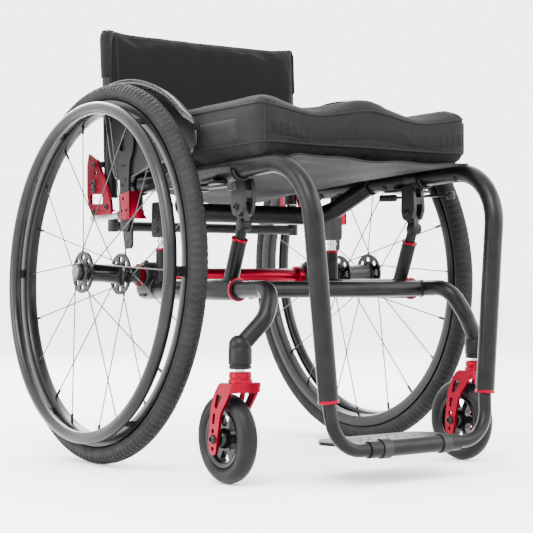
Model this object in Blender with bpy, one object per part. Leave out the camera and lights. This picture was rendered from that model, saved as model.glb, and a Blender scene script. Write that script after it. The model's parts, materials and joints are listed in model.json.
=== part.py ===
"""Rigid manual wheelchair: a seat frame on four struts over a lower base frame.

The chair faces -Y and stands on z = 0. Positions along the chair are written
from the rear axle; point() moves them so the origin lies under the middle of
the chair's box. Sides are named as the user's: R is -X, L is +X.
"""
import math

import bmesh
import bpy
from mathutils import Vector
from mathutils.geometry import tessellate_polygon

# ---- driving dimensions, metres ------------------------------------------
AXLE_Y = 0.0824            # rear axle, from the row origin
GAP = 0.0003               # clearance between parts that touch
WHEEL_RADIUS = 0.298       # 24 inch wheel, outside of the tyre
TYRE_SECTION = 0.0145
CAMBER = math.radians(2.5)
HALF_TRACK = 0.2538        # wheel plane at axle height
HANDRIM_RADIUS = 0.2575
HANDRIM_OFFSET = 0.030
HANDRIM_SECTION = 0.0095
HUB_FLANGE_RADIUS = 0.033
SPOKES = 20
WHEEL_SEGMENTS = 40
CASTER_RADIUS = 0.0635     # 5 inch caster
CASTER_X = 0.2225
CASTER_STEM_Y = -0.3427
CASTER_TRAIL = 0.0331
SEAT_TUBE = 0.014          # tube radii
LOWER_TUBE = 0.01575
ARM_TUBE = 0.0123
CROSS_TUBE = 0.0152
SEAT_X = 0.176             # seat tube centre line
SEAT_REAR = (0.045, 0.4395)     # (y, z) along the seat tube
SEAT_FRONT = (-0.440, 0.4515)
LEG_FOOT = (0.1457, -0.4432, 0.1195)
LOWER_X = 0.166
LOWER_Z = 0.2715
CAMBER_TUBE_Z = 0.2935
BACK_X = 0.184
BACK_FOOT = (0.0975, 0.4240)    # (y, z) of the back canes' lower end
BACK_RECLINE = math.radians(2.0)
CUSHION_HALF = 0.195
CUSHION_FRONT = -0.362
CUSHION_REAR = 0.050
CUSHION_BOTTOM = 0.4685
CUSHION_THICK = 0.073

HUB_Z = (WHEEL_RADIUS - TYRE_SECTION) * math.cos(CAMBER) + TYRE_SECTION
SIDES = (("R", -1), ("L", 1))
X, Y, Z = Vector((1, 0, 0)), Vector((0, 1, 0)), Vector((0, 0, 1))


def point(x, y, z):
    """A place given from the rear axle, in the row's own frame."""
    return Vector((x, y + AXLE_Y, z))


# ---- materials -------------------------------------------------------------
def material(name, color, roughness, metallic=0.0):
    mat = bpy.data.materials.new(name)
    mat.use_nodes = True
    shader = mat.node_tree.nodes["Principled BSDF"]
    shader.inputs["Base Color"].default_value = (*color, 1.0)
    shader.inputs["Roughness"].default_value = roughness
    shader.inputs["Metallic"].default_value = metallic
    return mat


def make_materials():
    return {
        "frame_powder_coat": material("frame_powder_coat", (0.05, 0.052, 0.056), 0.45, 0.4),
        "red_anodised": material("red_anodised", (0.62, 0.005, 0.022), 0.3, 0.7),
        "black_fitting": material("black_fitting", (0.018, 0.018, 0.02), 0.4),
        "gloss_black": material("gloss_black", (0.012, 0.012, 0.014), 0.12),
        "tyre_rubber": material("tyre_rubber", (0.055, 0.055, 0.058), 0.8),
        "caster_rubber": material("caster_rubber", (0.04, 0.04, 0.042), 0.55),
        "rim_alloy": material("rim_alloy", (0.045, 0.046, 0.05), 0.35, 0.6),
        "steel": material("steel", (0.5, 0.5, 0.52), 0.25, 1.0),
        "bare_aluminium": material("bare_aluminium", (0.62, 0.63, 0.65), 0.35, 1.0),
        "seat_fabric": material("seat_fabric", (0.022, 0.022, 0.024), 0.9),
        "cushion_fabric": material("cushion_fabric", (0.05, 0.05, 0.053), 0.9),
        "guard_composite": material("guard_composite", (0.02, 0.02, 0.022), 0.3),
    }


# ---- mesh helpers ----------------------------------------------------------
def finish(name, mesh_builder, mat, smooth_angle=40.0):
    """Turn a bmesh into one named object with outward faces."""
    bmesh.ops.recalc_face_normals(mesh_builder, faces=mesh_builder.faces)
    mesh = bpy.data.meshes.new(name)
    mesh_builder.to_mesh(mesh)
    mesh_builder.free()
    mesh.shade_smooth()
    mesh.set_sharp_from_angle(angle=math.radians(smooth_angle))
    if mat:
        mesh.materials.append(mat)
    obj = bpy.data.objects.new(name, mesh)
    bpy.context.scene.collection.objects.link(obj)
    return obj


def basis(direction, up_hint=Z):
    """Three axes with the first along direction."""
    first = Vector(direction).normalized()
    hint = up_hint if abs(first.dot(up_hint)) < 0.95 else X
    second = hint.cross(first).normalized()
    return first, second, first.cross(second)


def sweep(bm, path, radius, sides=16, taper=None):
    """A closed round tube along a path; taper gives a radius for each point."""
    path = [Vector(p) for p in path]
    count = len(path)
    _, right, _ = basis(path[1] - path[0])
    rings = []
    for i, centre in enumerate(path):
        before, after = path[max(i - 1, 0)], path[min(i + 1, count - 1)]
        tangent = (after - before).normalized()
        right = (right - tangent * right.dot(tangent)).normalized()
        up = tangent.cross(right)
        size = taper[i] if taper else radius
        ring = []
        for k in range(sides):
            turn = math.tau * k / sides
            ring.append(bm.verts.new(centre + size * (math.cos(turn) * right + math.sin(turn) * up)))
        rings.append(ring)
    for low, high in zip(rings, rings[1:]):
        for k in range(sides):
            bm.faces.new((low[k], low[(k + 1) % sides], high[(k + 1) % sides], high[k]))
    bm.faces.new(list(reversed(rings[0])))
    bm.faces.new(rings[-1])


def rounded(points, radius, steps=8):
    """The path through points with every inner corner turned into an arc."""
    points = [Vector(p) for p in points]
    path = [points[0]]
    for before, corner, after in zip(points, points[1:], points[2:]):
        into, out = (corner - before).normalized(), (after - corner).normalized()
        turn = into.angle(out)
        reach = radius * math.tan(turn / 2)
        start, normal = corner - into * reach, (out - into * out.dot(into)).normalized()
        centre = start + normal * radius
        for i in range(steps + 1):
            angle = turn * i / steps
            path.append(centre - normal * radius * math.cos(angle) + into * radius * math.sin(angle))
    path.append(points[-1])
    return path


def turned(bm, profile, origin, axis, segments=24, closed=False):
    """Turn (along, radius) points about an axis; closed joins last to first."""
    along, right, up = basis(axis)
    origin = Vector(origin)
    rings = []
    for distance, radius in profile:
        if radius <= 0:
            rings.append([bm.verts.new(origin + along * distance)])
            continue
        ring = []
        for k in range(segments):
            turn = math.tau * k / segments
            spoke = math.cos(turn) * right + math.sin(turn) * up
            ring.append(bm.verts.new(origin + along * distance + radius * spoke))
        rings.append(ring)
    pairs = list(zip(rings, rings[1:])) + ([(rings[-1], rings[0])] if closed else [])
    for low, high in pairs:
        for k in range(segments):
            n = (k + 1) % segments
            if len(low) == 1:
                bm.faces.new((low[0], high[n], high[k]))
            elif len(high) == 1:
                bm.faces.new((low[k], low[n], high[0]))
            else:
                bm.faces.new((low[k], low[n], high[n], high[k]))
    if not closed:
        for ring in (rings[0], rings[-1]):
            if len(ring) > 1:
                bm.faces.new(ring)


def rod(bm, start, end, radius, sides=12, bevel=0.0):
    """A solid round bar with a small chamfer at both ends."""
    start, end = Vector(start), Vector(end)
    length = (end - start).length
    if bevel:
        profile = [(0, radius - bevel), (bevel, radius), (length - bevel, radius), (length, radius - bevel)]
    else:
        profile = [(0, radius), (length, radius)]
    turned(bm, profile, start, end - start, sides)


def slab(bm, outline, holes, origin, across, upward, thickness):
    """Extrude a flat outline with holes; thickness runs along across x upward."""
    across, upward = Vector(across).normalized(), Vector(upward).normalized()
    normal = across.cross(upward)
    origin = Vector(origin)
    loops = [outline] + list(holes)
    flat = [[Vector((a, b, 0.0)) for a, b in loop] for loop in loops]
    corners = [p for loop in flat for p in loop]
    triangles = tessellate_polygon(flat)
    layers = []
    for offset in (-thickness / 2, thickness / 2):
        base = origin + normal * offset
        layers.append([bm.verts.new(base + across * p.x + upward * p.y) for p in corners])
    low, high = layers
    for a, b, c in triangles:
        bm.faces.new((low[a], low[b], low[c]))
        bm.faces.new((high[c], high[b], high[a]))
    first = 0
    for loop in loops:
        count = len(loop)
        for k in range(count):
            a, b = first + k, first + (k + 1) % count
            bm.faces.new((low[a], low[b], high[b], high[a]))
        first += count


def circle(cx, cy, radius, count=12, stretch=1.0):
    """Points of a circle, or of an ellipse when stretched along its second axis."""
    return [(cx + radius * math.cos(math.tau * k / count),
             cy + radius * stretch * math.sin(math.tau * k / count)) for k in range(count)]


def block(bm, low, high):
    """A box between two corners."""
    low, high = Vector(low), Vector(high)
    made = bmesh.ops.create_cube(bm, size=1.0)
    size = high - low
    for vert in made["verts"]:
        vert.co = Vector((low[i] + (vert.co[i] + 0.5) * size[i] for i in range(3)))


def evaluated(obj):
    """Apply an object's modifiers to its own mesh."""
    depsgraph = bpy.context.evaluated_depsgraph_get()
    mesh = bpy.data.meshes.new_from_object(obj.evaluated_get(depsgraph))
    obj.modifiers.clear()
    obj.data = mesh
    return obj


def combine(obj, others, operation="UNION"):
    """Union or subtract other objects, which are used up."""
    for other in others:
        tool = obj.modifiers.new("join", "BOOLEAN")
        tool.operation = operation
        tool.solver = "EXACT"
        tool.object = other
    evaluated(obj)
    for other in others:
        bpy.data.objects.remove(other)
    obj.data.shade_smooth()
    obj.data.set_sharp_from_angle(angle=math.radians(40.0))
    return obj


def piece(name, mat, build, *args, **kwargs):
    """One object from one mesh-building call."""
    bm = bmesh.new()
    build(bm, *args, **kwargs)
    return finish(name, bm, mat)


# ---- rear wheels -----------------------------------------------------------
def wheel_axes(sign):
    """Hub centre, outward axis and the wheel plane's upward direction."""
    outward = Vector((sign * math.cos(CAMBER), 0, math.sin(CAMBER)))
    upward = Vector((-sign * math.sin(CAMBER), 0, math.cos(CAMBER)))
    return point(sign * HALF_TRACK, 0, HUB_Z), outward, upward


def build_tyre(bm, centre, outward):
    ring = WHEEL_RADIUS - TYRE_SECTION
    profile = []
    for k in range(8):
        turn = math.tau * k / 8
        profile.append((TYRE_SECTION * math.sin(turn), ring + TYRE_SECTION * math.cos(turn)))
    turned(bm, profile, centre, outward, WHEEL_SEGMENTS, closed=True)


def build_rim(bm, centre, outward):
    half, lip, well, inner = 0.0115, 0.2700, 0.2680, 0.2520
    profile = [(-half, lip), (-half, inner + 0.005), (-half * 0.6, inner), (half * 0.6, inner),
               (half, inner + 0.005), (half, lip), (half - 0.005, well), (0.005 - half, well)]
    turned(bm, profile, centre, outward, WHEEL_SEGMENTS, closed=True)


def build_handrim(side, centre, outward, upward, mat):
    """Push rim with six stand-off tabs that reach to the rim's side."""
    def tube(bm):
        profile = []
        for k in range(8):
            turn = math.tau * k / 8
            profile.append((HANDRIM_OFFSET + HANDRIM_SECTION * math.sin(turn),
                            HANDRIM_RADIUS + HANDRIM_SECTION * math.cos(turn)))
        turned(bm, profile, centre, outward, WHEEL_SEGMENTS, closed=True)

    def tabs(bm):
        along = outward.cross(upward)
        for k in range(6):
            turn = math.tau * (k + 0.5) / 6
            radial = math.cos(turn) * upward + math.sin(turn) * along
            tangent = -math.sin(turn) * upward + math.cos(turn) * along
            middle = centre + radial * (HANDRIM_RADIUS + 0.0035) + outward * 0.0185
            outline = [(-0.0065, -0.0016), (0.0065, -0.0016), (0.0065, 0.0016), (-0.0065, 0.0016)]
            slab(bm, outline, [], middle, tangent, radial, 0.0130)
    rim = piece(f"handrim_{side}", mat, tube)
    return combine(rim, [piece("tabs", mat, tabs)])


def build_hub(side, centre, outward, upward, mat):
    """Waisted barrel with two drilled flanges and a through bore for the axle."""
    def barrel(bm):
        bore = 0.0068
        profile = [(-0.0455, bore), (-0.0455, 0.0125), (-0.0360, 0.0140), (-0.0300, 0.0185),
                   (-0.0240, 0.0150), (0.0240, 0.0150), (0.0300, 0.0185), (0.0360, 0.0140),
                   (0.0460, 0.0128), (0.0460, 0.0109), (0.0402, 0.0109), (0.0402, bore)]
        turned(bm, profile, centre, outward, 14, closed=True)

    def flanges(bm):
        along = outward.cross(upward)
        for offset in (-0.0335, 0.0330):
            holes = [circle(0.0240 * math.cos(a), 0.0240 * math.sin(a), 0.0046, 6)
                     for a in (math.tau * k / 6 for k in range(6))]
            holes.append(circle(0, 0, 0.0100, 14))
            slab(bm, circle(0, 0, HUB_FLANGE_RADIUS, 20), holes, centre + outward * offset,
                 upward, along, 0.0036)
    hub = piece(f"hub_{side}", mat, barrel)
    return combine(hub, [piece("flanges", mat, flanges)])


def build_spokes(bm, centre, outward, upward):
    """Steel spokes from alternate flanges to the rim's inner wall, crossed in pairs."""
    along = outward.cross(upward)
    for k in range(SPOKES):
        side = 1 if k % 2 else -1
        lean = math.radians(24.0) * (1 if (k // 2) % 2 else -1)
        rim_turn = math.tau * k / SPOKES
        hub_turn = rim_turn + lean
        inner = math.cos(hub_turn) * upward + math.sin(hub_turn) * along
        outer = math.cos(rim_turn) * upward + math.sin(rim_turn) * along
        start = centre + inner * (HUB_FLANGE_RADIUS - 0.0030) + outward * (side * 0.0335)
        end = centre + outer * (0.2520 - GAP - 0.0012) + outward * (side * 0.0030)
        rod(bm, start, end, 0.0012, 4)


def build_rear_wheels(mats):
    for side, sign in SIDES:
        centre, outward, upward = wheel_axes(sign)
        piece(f"tyre_{side}", mats["tyre_rubber"], build_tyre, centre, outward)
        piece(f"rim_{side}", mats["rim_alloy"], build_rim, centre, outward)
        build_handrim(side, centre, outward, upward, mats["rim_alloy"])
        hub = build_hub(side, centre, outward, upward, mats["gloss_black"])
        combine(hub, [piece("spokes", mats["gloss_black"], build_spokes, centre, outward, upward)])
        button = [(0.0430, 0.0), (0.0430, 0.0105), (0.0475, 0.0105), (0.0490, 0.0085), (0.0490, 0.0)]
        piece(f"axle_button_{side}", mats["bare_aluminium"], turned, button, centre, outward, 14)
        piece(f"axle_{side}", mats["steel"], rod, centre - outward * 0.1020,
              centre + outward * 0.0400, 0.0062, 12, 0.001)
        sleeve = [(-0.0632, 0.0066), (-0.0632, 0.0145), (-0.0600, 0.0145), (-0.0580, 0.0135),
                  (-0.0460, 0.0125), (-0.0460, 0.0066)]
        piece(f"axle_receiver_{side}", mats["black_fitting"], turned, sleeve, centre, outward, 14,
              closed=True)
        teeth = 10
        outline = []
        for k in range(teeth * 2):
            size = 0.0182 if k % 2 else 0.0162
            turn = math.tau * k / (teeth * 2)
            outline.append((size * math.cos(turn), size * math.sin(turn)))
        piece(f"camber_ring_{side}", mats["red_anodised"], slab, outline, [circle(0, 0, 0.0066, 12)],
              centre - outward * 0.0660, upward, outward.cross(upward), 0.0050)


# ---- base frame ------------------------------------------------------------
LOWER_REAR = -0.0303
LOWER_FRONT = -0.2512
CLAMP_INNER = 0.1348
STRUT_FOOT = (0.1634, -0.2327, 0.2886)
STRUT_RING = (0.1635, -0.2552, 0.3455)
CLEVIS_PIN = (0.1630, -0.2620, 0.3920)
REAR_STRUT = (0.1690, -0.0440)
REAR_RING_Z = 0.3350
FRONT_SOCKET, FRONT_POST = 0.01125, 0.0082
REAR_SOCKET, REAR_POST = 0.0108, 0.0072


def strut_line(kind, sign):
    """Foot, collar and top of a strut."""
    if kind == "front":
        foot = point(sign * STRUT_FOOT[0], *STRUT_FOOT[1:])
        ring = point(sign * STRUT_RING[0], *STRUT_RING[1:])
        return foot, ring, ring + (ring - foot).normalized() * 0.0290
    foot = point(sign * REAR_STRUT[0], REAR_STRUT[1], 0.2900)
    ring = point(sign * REAR_STRUT[0], REAR_STRUT[1], REAR_RING_Z)
    return foot, ring, ring + Z * 0.0190


def build_base_side(side, sign, mat):
    """Lower tube with the front and rear strut sockets welded on and its two collars."""
    front = point(sign * LOWER_X, LOWER_FRONT, LOWER_Z)
    tube = piece(f"base_side_tube_{side}", mat, rod, point(sign * LOWER_X, LOWER_REAR, LOWER_Z),
                 front - Y * 0.0052, LOWER_TUBE, 16)
    parts = [piece("ring", mat, rod, front, front - Y * 0.0048, 0.0172, 16)]
    for kind, radius, post in (("front", FRONT_SOCKET, FRONT_POST), ("rear", REAR_SOCKET, REAR_POST)):
        foot, ring, _ = strut_line(kind, sign)
        length = (ring - foot).length
        bore = post + GAP
        profile = [(-0.012, 0.0), (-0.012, radius), (length - 0.0020, radius),
                   (length - 0.0020, radius + 0.0012),
                   (length + 0.0018, radius + 0.0012), (length + 0.0018, bore), (length - 0.030, bore),
                   (length - 0.030, 0.0)]
        parts.append(piece("socket", mat, turned, profile, foot, ring - foot, 14))
    return combine(tube, parts)


def build_axle_clamp(side, sign, mat):
    """Casting that holds the camber tube's end, the lower side tube and the axle."""
    centre, outward, _ = wheel_axes(sign)
    profile = [(0, 0.0175), (0.004, 0.0195), (0.044, 0.0195), (0.0485, 0.0180)]
    body = piece(f"axle_clamp_{side}", mat, turned, profile,
                 point(sign * CLAMP_INNER, 0, CAMBER_TUBE_Z), (sign, 0, 0), 16)
    profile = [(0, 0.0140), (0.006, 0.0178), (0.0500, 0.0178)]
    socket = piece("socket", mat, turned, profile, point(sign * LOWER_X, 0.020, LOWER_Z + 0.002),
                   -Y, 14)
    combine(body, [socket])
    bore = piece("bore", mat, rod, centre - outward * 0.1330, centre - outward * 0.050, 0.0066, 12)
    return combine(body, [bore], "DIFFERENCE")


def build_caster_arm(side, sign, mat):
    """Bent arm from the lower tube's front end to the vertical stem housing."""
    start = point(sign * LOWER_X, LOWER_FRONT - 0.0056, LOWER_Z)
    corner = point(sign * 0.1672, -0.3420, 0.2735)
    knee = point(sign * 0.1880, -0.3560, 0.2330)
    end = point(sign * CASTER_X, CASTER_STEM_Y, 0.1970)
    path = rounded([start, corner, knee, end], 0.034, 4)
    arm = piece(f"caster_arm_{side}", mat, sweep, path, ARM_TUBE, 12)
    stem = point(sign * CASTER_X, CASTER_STEM_Y, 0)
    profile = [(0.1622, 0.0150), (0.1640, 0.0162), (0.1900, 0.0165), (0.2010, 0.0150), (0.2090, 0.0090)]
    combine(arm, [piece("housing", mat, turned, profile, stem, Z, 16)])
    bore = piece("bore", mat, rod, stem + Z * 0.150, stem + Z * 0.192, 0.0066, 12)
    return combine(arm, [bore], "DIFFERENCE")


def build_base_frame(mats):
    coat, black, red = mats["frame_powder_coat"], mats["black_fitting"], mats["red_anodised"]
    for side, sign in SIDES:
        build_base_side(side, sign, coat)
        build_axle_clamp(side, sign, black)
        build_caster_arm(side, sign, coat)
    reach = LOWER_X - ARM_TUBE - 0.0006
    piece("front_crossbar", coat, rod, point(-reach, -0.283, LOWER_Z),
          point(reach, -0.283, LOWER_Z), 0.0122, 18)
    profile = [(-0.1345, 0.0), (-0.1345, 0.0165), (-0.1220, 0.0165), (-0.1220, 0.0125),
               (0.1220, 0.0125), (0.1220, 0.0165), (0.1345, 0.0165), (0.1345, 0.0)]
    piece("camber_tube", red, turned, profile, point(0, 0, CAMBER_TUBE_Z), X, 16)


def build_struts(mats):
    """Posts that rise from the sockets, and the clamps that hold the seat frame."""
    coat, black, steel = mats["frame_powder_coat"], mats["black_fitting"], mats["steel"]
    for side, sign in SIDES:
        foot, ring, top = strut_line("front", sign)
        pin = point(sign * CLEVIS_PIN[0], *CLEVIS_PIN[1:])
        post = piece(f"front_post_{side}", coat, rod, ring - (ring - foot).normalized() * 0.0240, top,
                     FRONT_POST, 16)
        tongue = [(-0.0140, -0.0260), (0.0060, -0.0260), (0.0085, 0.0020), (0.0045, 0.0075),
                  (-0.0040, 0.0080), (-0.0085, 0.0030)]
        head = piece("head", coat, rod, top - Vector((0.0088, 0, 0.006)), top + Vector((0.0088, 0, -0.006)),
                     0.0090, 14)
        combine(post, [head, piece("tongue", coat, slab, tongue, [], pin, Y, Z, 0.0100)])
        build_seat_clamp(side, sign, pin, black)

        _, ring, top = strut_line("rear", sign)
        post = piece(f"rear_post_{side}", steel, rod, ring - Z * 0.0240, top + Z * 0.004, REAR_POST, 16)
        outline = [(-0.0150, 0.0), (0.0150, 0.0), (0.0165, 0.0120), (0.0150, 0.0420),
                   (-0.0150, 0.0420), (-0.0165, 0.0120)]
        combine(post, [piece("saddle", steel, slab, outline, [], top, Y, Z, 0.0220)])
        cross = piece("cross_cutter", steel, sweep, cross_path(), CROSS_TUBE + GAP, 14)
        combine(post, [cross, seat_tube_cutter(0.03, -0.12), above_seat_cutter(-0.12, 0.03, -0.008)],
                "DIFFERENCE")


def build_seat_clamp(side, sign, pin, mat):
    """Cradle hung from the seat tube: two ears beside the tongue and the lock's outer plate."""
    outline = [(0.0125, 0.0240), (0.0125, 0.0420), (-0.0130, 0.0420), (-0.0165, 0.0260), (-0.0185, 0.0040),
               (-0.0120, -0.0105), (0.0000, -0.0145), (0.0100, -0.0100), (0.0140, 0.0020)]
    body = piece(f"seat_clamp_{side}", mat, slab, outline, [], pin - X * 0.0085, Y, Z, 0.0060)
    seat = seat_point(sign, CLEVIS_PIN[1])
    reach = 0.0500 if sign > 0 else -0.0500
    low = pin + Vector((min(-0.0110, reach), 0.0120, 0.0340))
    high = pin + Vector((max(0.0110, reach), 0.0560, 0.0380))
    parts = [piece("ear", mat, slab, outline, [], pin + X * 0.0085, Y, Z, 0.0060),
             piece("bridge", mat, block, pin + Vector((-0.0100, -0.0165, 0.0130)),
                   pin + Vector((0.0100, 0.0120, 0.0240))),
             piece("cradle", mat, turned, [(-0.0140, 0.0185), (0.0140, 0.0185)], seat, Y, 20),
             piece("shelf", mat, block, low, high),
             piece("shelf_root", mat, block, seat + Vector((-0.012, 0.0, -0.0200)),
                   seat + Vector((0.012, 0.040, -0.0100)))]
    combine(body, parts)
    return combine(body, [seat_tube_cutter(-0.16, -0.34), above_seat_cutter(-0.30, -0.16, 0.0015)],
                   "DIFFERENCE")


LOCK_PIVOT = (0.2020, -0.2190)
LOCK_Z = 0.4205
LOCK_ARM = 0.0838


def build_wheel_locks(mats):
    """Flat arm with a round shoe at its front and a short grip behind the pivot."""
    for side, sign in SIDES:
        pivot = point(sign * LOCK_PIVOT[0], LOCK_PIVOT[1], LOCK_Z)
        forward = Vector((sign * math.cos(math.radians(-85.0)), math.sin(math.radians(-85.0)), 0))
        rear = Vector((sign * math.cos(math.radians(112.0)), math.sin(math.radians(112.0)), 0))
        shoe = pivot + forward * LOCK_ARM

        def arm(bm, start, end, half):
            along = (end - start).normalized()
            outline = [(-0.006, -half), ((end - start).length + 0.006, -half * 0.8),
                       ((end - start).length + 0.006, half * 0.8), (-0.006, half)]
            slab(bm, outline, [], start, along, Z.cross(along), 0.0040)
        lock = piece(f"wheel_lock_{side}", mats["black_fitting"], arm, pivot, shoe, 0.0075)
        grip = piece("grip", None, arm, pivot, pivot + rear * 0.055, 0.0065)
        tip = piece("tip", None, rod, shoe - Z * 0.008, shoe + Z * 0.005, 0.0062, 10)
        boss = piece("boss", None, rod, pivot - Z * 0.005, pivot + Z * 0.0048, 0.0080, 10)
        combine(lock, [grip, tip, boss])


# ---- seat frame ------------------------------------------------------------
def seat_point(sign, y):
    """The seat tube's centre line at a distance from the axle."""
    share = (y - SEAT_REAR[0]) / (SEAT_FRONT[0] - SEAT_REAR[0])
    return point(sign * SEAT_X, y, SEAT_REAR[1] + share * (SEAT_FRONT[1] - SEAT_REAR[1]))


def leg_axis(sign):
    """Direction of the front leg, pointing up."""
    top = point(sign * SEAT_X, *SEAT_FRONT)
    return (top - point(sign * LEG_FOOT[0], *LEG_FOOT[1:])).normalized()


def seat_tube_cutter(rear, front):
    """The seat tubes' own shape between two distances, grown by the gap."""
    bm = bmesh.new()
    for _, sign in SIDES:
        sweep(bm, [seat_point(sign, rear), seat_point(sign, front)], SEAT_TUBE + GAP, 16)
    return finish("seat_tube_cutter", bm, None)


def above_seat_cutter(rear, front, height):
    """Everything over the seat tubes from a height above their centre lines."""
    bm = bmesh.new()
    for _, sign in SIDES:
        low, high = seat_point(sign, min(rear, front)), seat_point(sign, max(rear, front))
        block(bm, (low.x - 0.030, low.y, low.z + height), (low.x + 0.030, high.y, low.z + height + 0.05))
    return finish("above_seat_cutter", bm, None)


def cross_path():
    """The rear cross tube: low across the middle, rising forward to each seat tube."""
    left = [point(SEAT_X - 0.0015, -0.1420, 0.4420), point(0.1430, -0.0600, 0.3940)]
    right = [point(-p.x, p.y - AXLE_Y, p.z) for p in reversed(left)]
    return rounded(left + right, 0.040, 4)


def build_seat_frame(mats):
    coat = mats["frame_powder_coat"]
    for side, sign in SIDES:
        corner = point(sign * SEAT_X, *SEAT_FRONT)
        foot = point(sign * LEG_FOOT[0], *LEG_FOOT[1:]) + leg_axis(sign) * 0.0024
        path = rounded([seat_point(sign, SEAT_REAR[0]), corner, foot], 0.085, 9)
        piece(f"seat_side_tube_{side}", coat, sweep, path, SEAT_TUBE, 16)
    cross = piece("seat_cross_tube", coat, sweep, cross_path(), CROSS_TUBE, 14)
    combine(cross, [seat_tube_cutter(0.04, -0.25), above_seat_cutter(-0.20, 0.0, 0.004)], "DIFFERENCE")

    def sling(bm):
        half = SEAT_X - SEAT_TUBE - 0.0012
        columns, rows = 6, 5
        grid = []
        for level in (0.0, -0.0030):
            layer = []
            for j in range(rows + 1):
                y = -0.395 + 0.425 * j / rows
                row = []
                for i in range(columns + 1):
                    u = 2 * i / columns - 1
                    base = seat_point(1, y).z
                    sag = 0.004 + 0.030 * j / rows
                    z = base + 0.012 - sag * (1 - u * u) + level
                    row.append(bm.verts.new(point(u * half, y, z)))
                layer.append(row)
            grid.append(layer)
        top, low = grid
        for j in range(rows):
            for i in range(columns):
                bm.faces.new((top[j][i], top[j][i + 1], top[j + 1][i + 1], top[j + 1][i]))
                bm.faces.new((low[j][i], low[j + 1][i], low[j + 1][i + 1], low[j][i + 1]))
        for j in range(rows):
            for i in (0, columns):
                bm.faces.new((top[j][i], top[j + 1][i], low[j + 1][i], low[j][i]))
        for i in range(columns):
            for j in (0, rows):
                bm.faces.new((top[j][i], low[j][i], low[j][i + 1], top[j][i + 1]))
    piece("seat_sling", mats["seat_fabric"], sling)


def build_cushion(mats):
    """Closed pad with rounded corners and a shallow dished top."""
    def pad(bm):
        corner, steps = 0.022, 4
        outline = []
        middle_y = (CUSHION_FRONT + CUSHION_REAR) / 2
        half_y = (CUSHION_REAR - CUSHION_FRONT) / 2
        for sx, sy, start in ((1, 1, 0), (-1, 1, 90), (-1, -1, 180), (1, -1, 270)):
            for k in range(steps + 1):
                turn = math.radians(start + 90 * k / steps)
                outline.append((sx * (CUSHION_HALF - corner) + corner * math.cos(turn),
                                middle_y + sy * (half_y - corner) + corner * math.sin(turn)))
        levels = [(0.0, 0.965), (0.010, 0.995), (CUSHION_THICK - 0.016, 1.0), (CUSHION_THICK, 0.965)]
        rings = []
        for height, scale in levels:
            rings.append([bm.verts.new(point(x * scale, middle_y + (y - middle_y) * scale,
                                             CUSHION_BOTTOM + height)) for x, y in outline])
        count = len(outline)
        for low, high in zip(rings, rings[1:]):
            for k in range(count):
                bm.faces.new((low[k], low[(k + 1) % count], high[(k + 1) % count], high[k]))
        bm.faces.new(rings[0])
        bm.faces.new(rings[-1])
    piece("cushion", mats["cushion_fabric"], pad)


def build_footrest(mats):
    coat = mats["frame_powder_coat"]

    def tube(bm):
        left = [point(LEG_FOOT[0], *LEG_FOOT[1:]) - leg_axis(1) * 0.0024,
                point(0.1385, -0.4508, 0.0505),
                point(0.0, -0.4508, 0.0505)]
        path = rounded(left, 0.048, 6)
        mirrored = [point(-p.x, p.y - AXLE_Y, p.z) for p in reversed(path[:-1])]
        sweep(bm, path + mirrored, 0.0095, 12)

    def sleeve(bm):
        profile = [(-0.0838, 0.0098), (-0.0838, 0.0120), (0.0838, 0.0120), (0.0838, 0.0098)]
        turned(bm, profile, point(0, -0.4508, 0.0505), X, 18, closed=True)

    def plate(bm):
        outline = [(-0.0880, -0.4380), (0.0880, -0.4380), (0.1120, -0.3760), (0.0900, -0.3460),
                   (-0.0900, -0.3460), (-0.1120, -0.3760)]
        outline = [(x, y + AXLE_Y) for x, y in outline]
        slab(bm, outline, [], Vector((0, 0, 0.0540)), X, Y, 0.0050)
    piece("footrest_tube", coat, tube)
    piece("footrest_sleeve", coat, sleeve)
    piece("footplate", mats["black_fitting"], plate)


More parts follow.
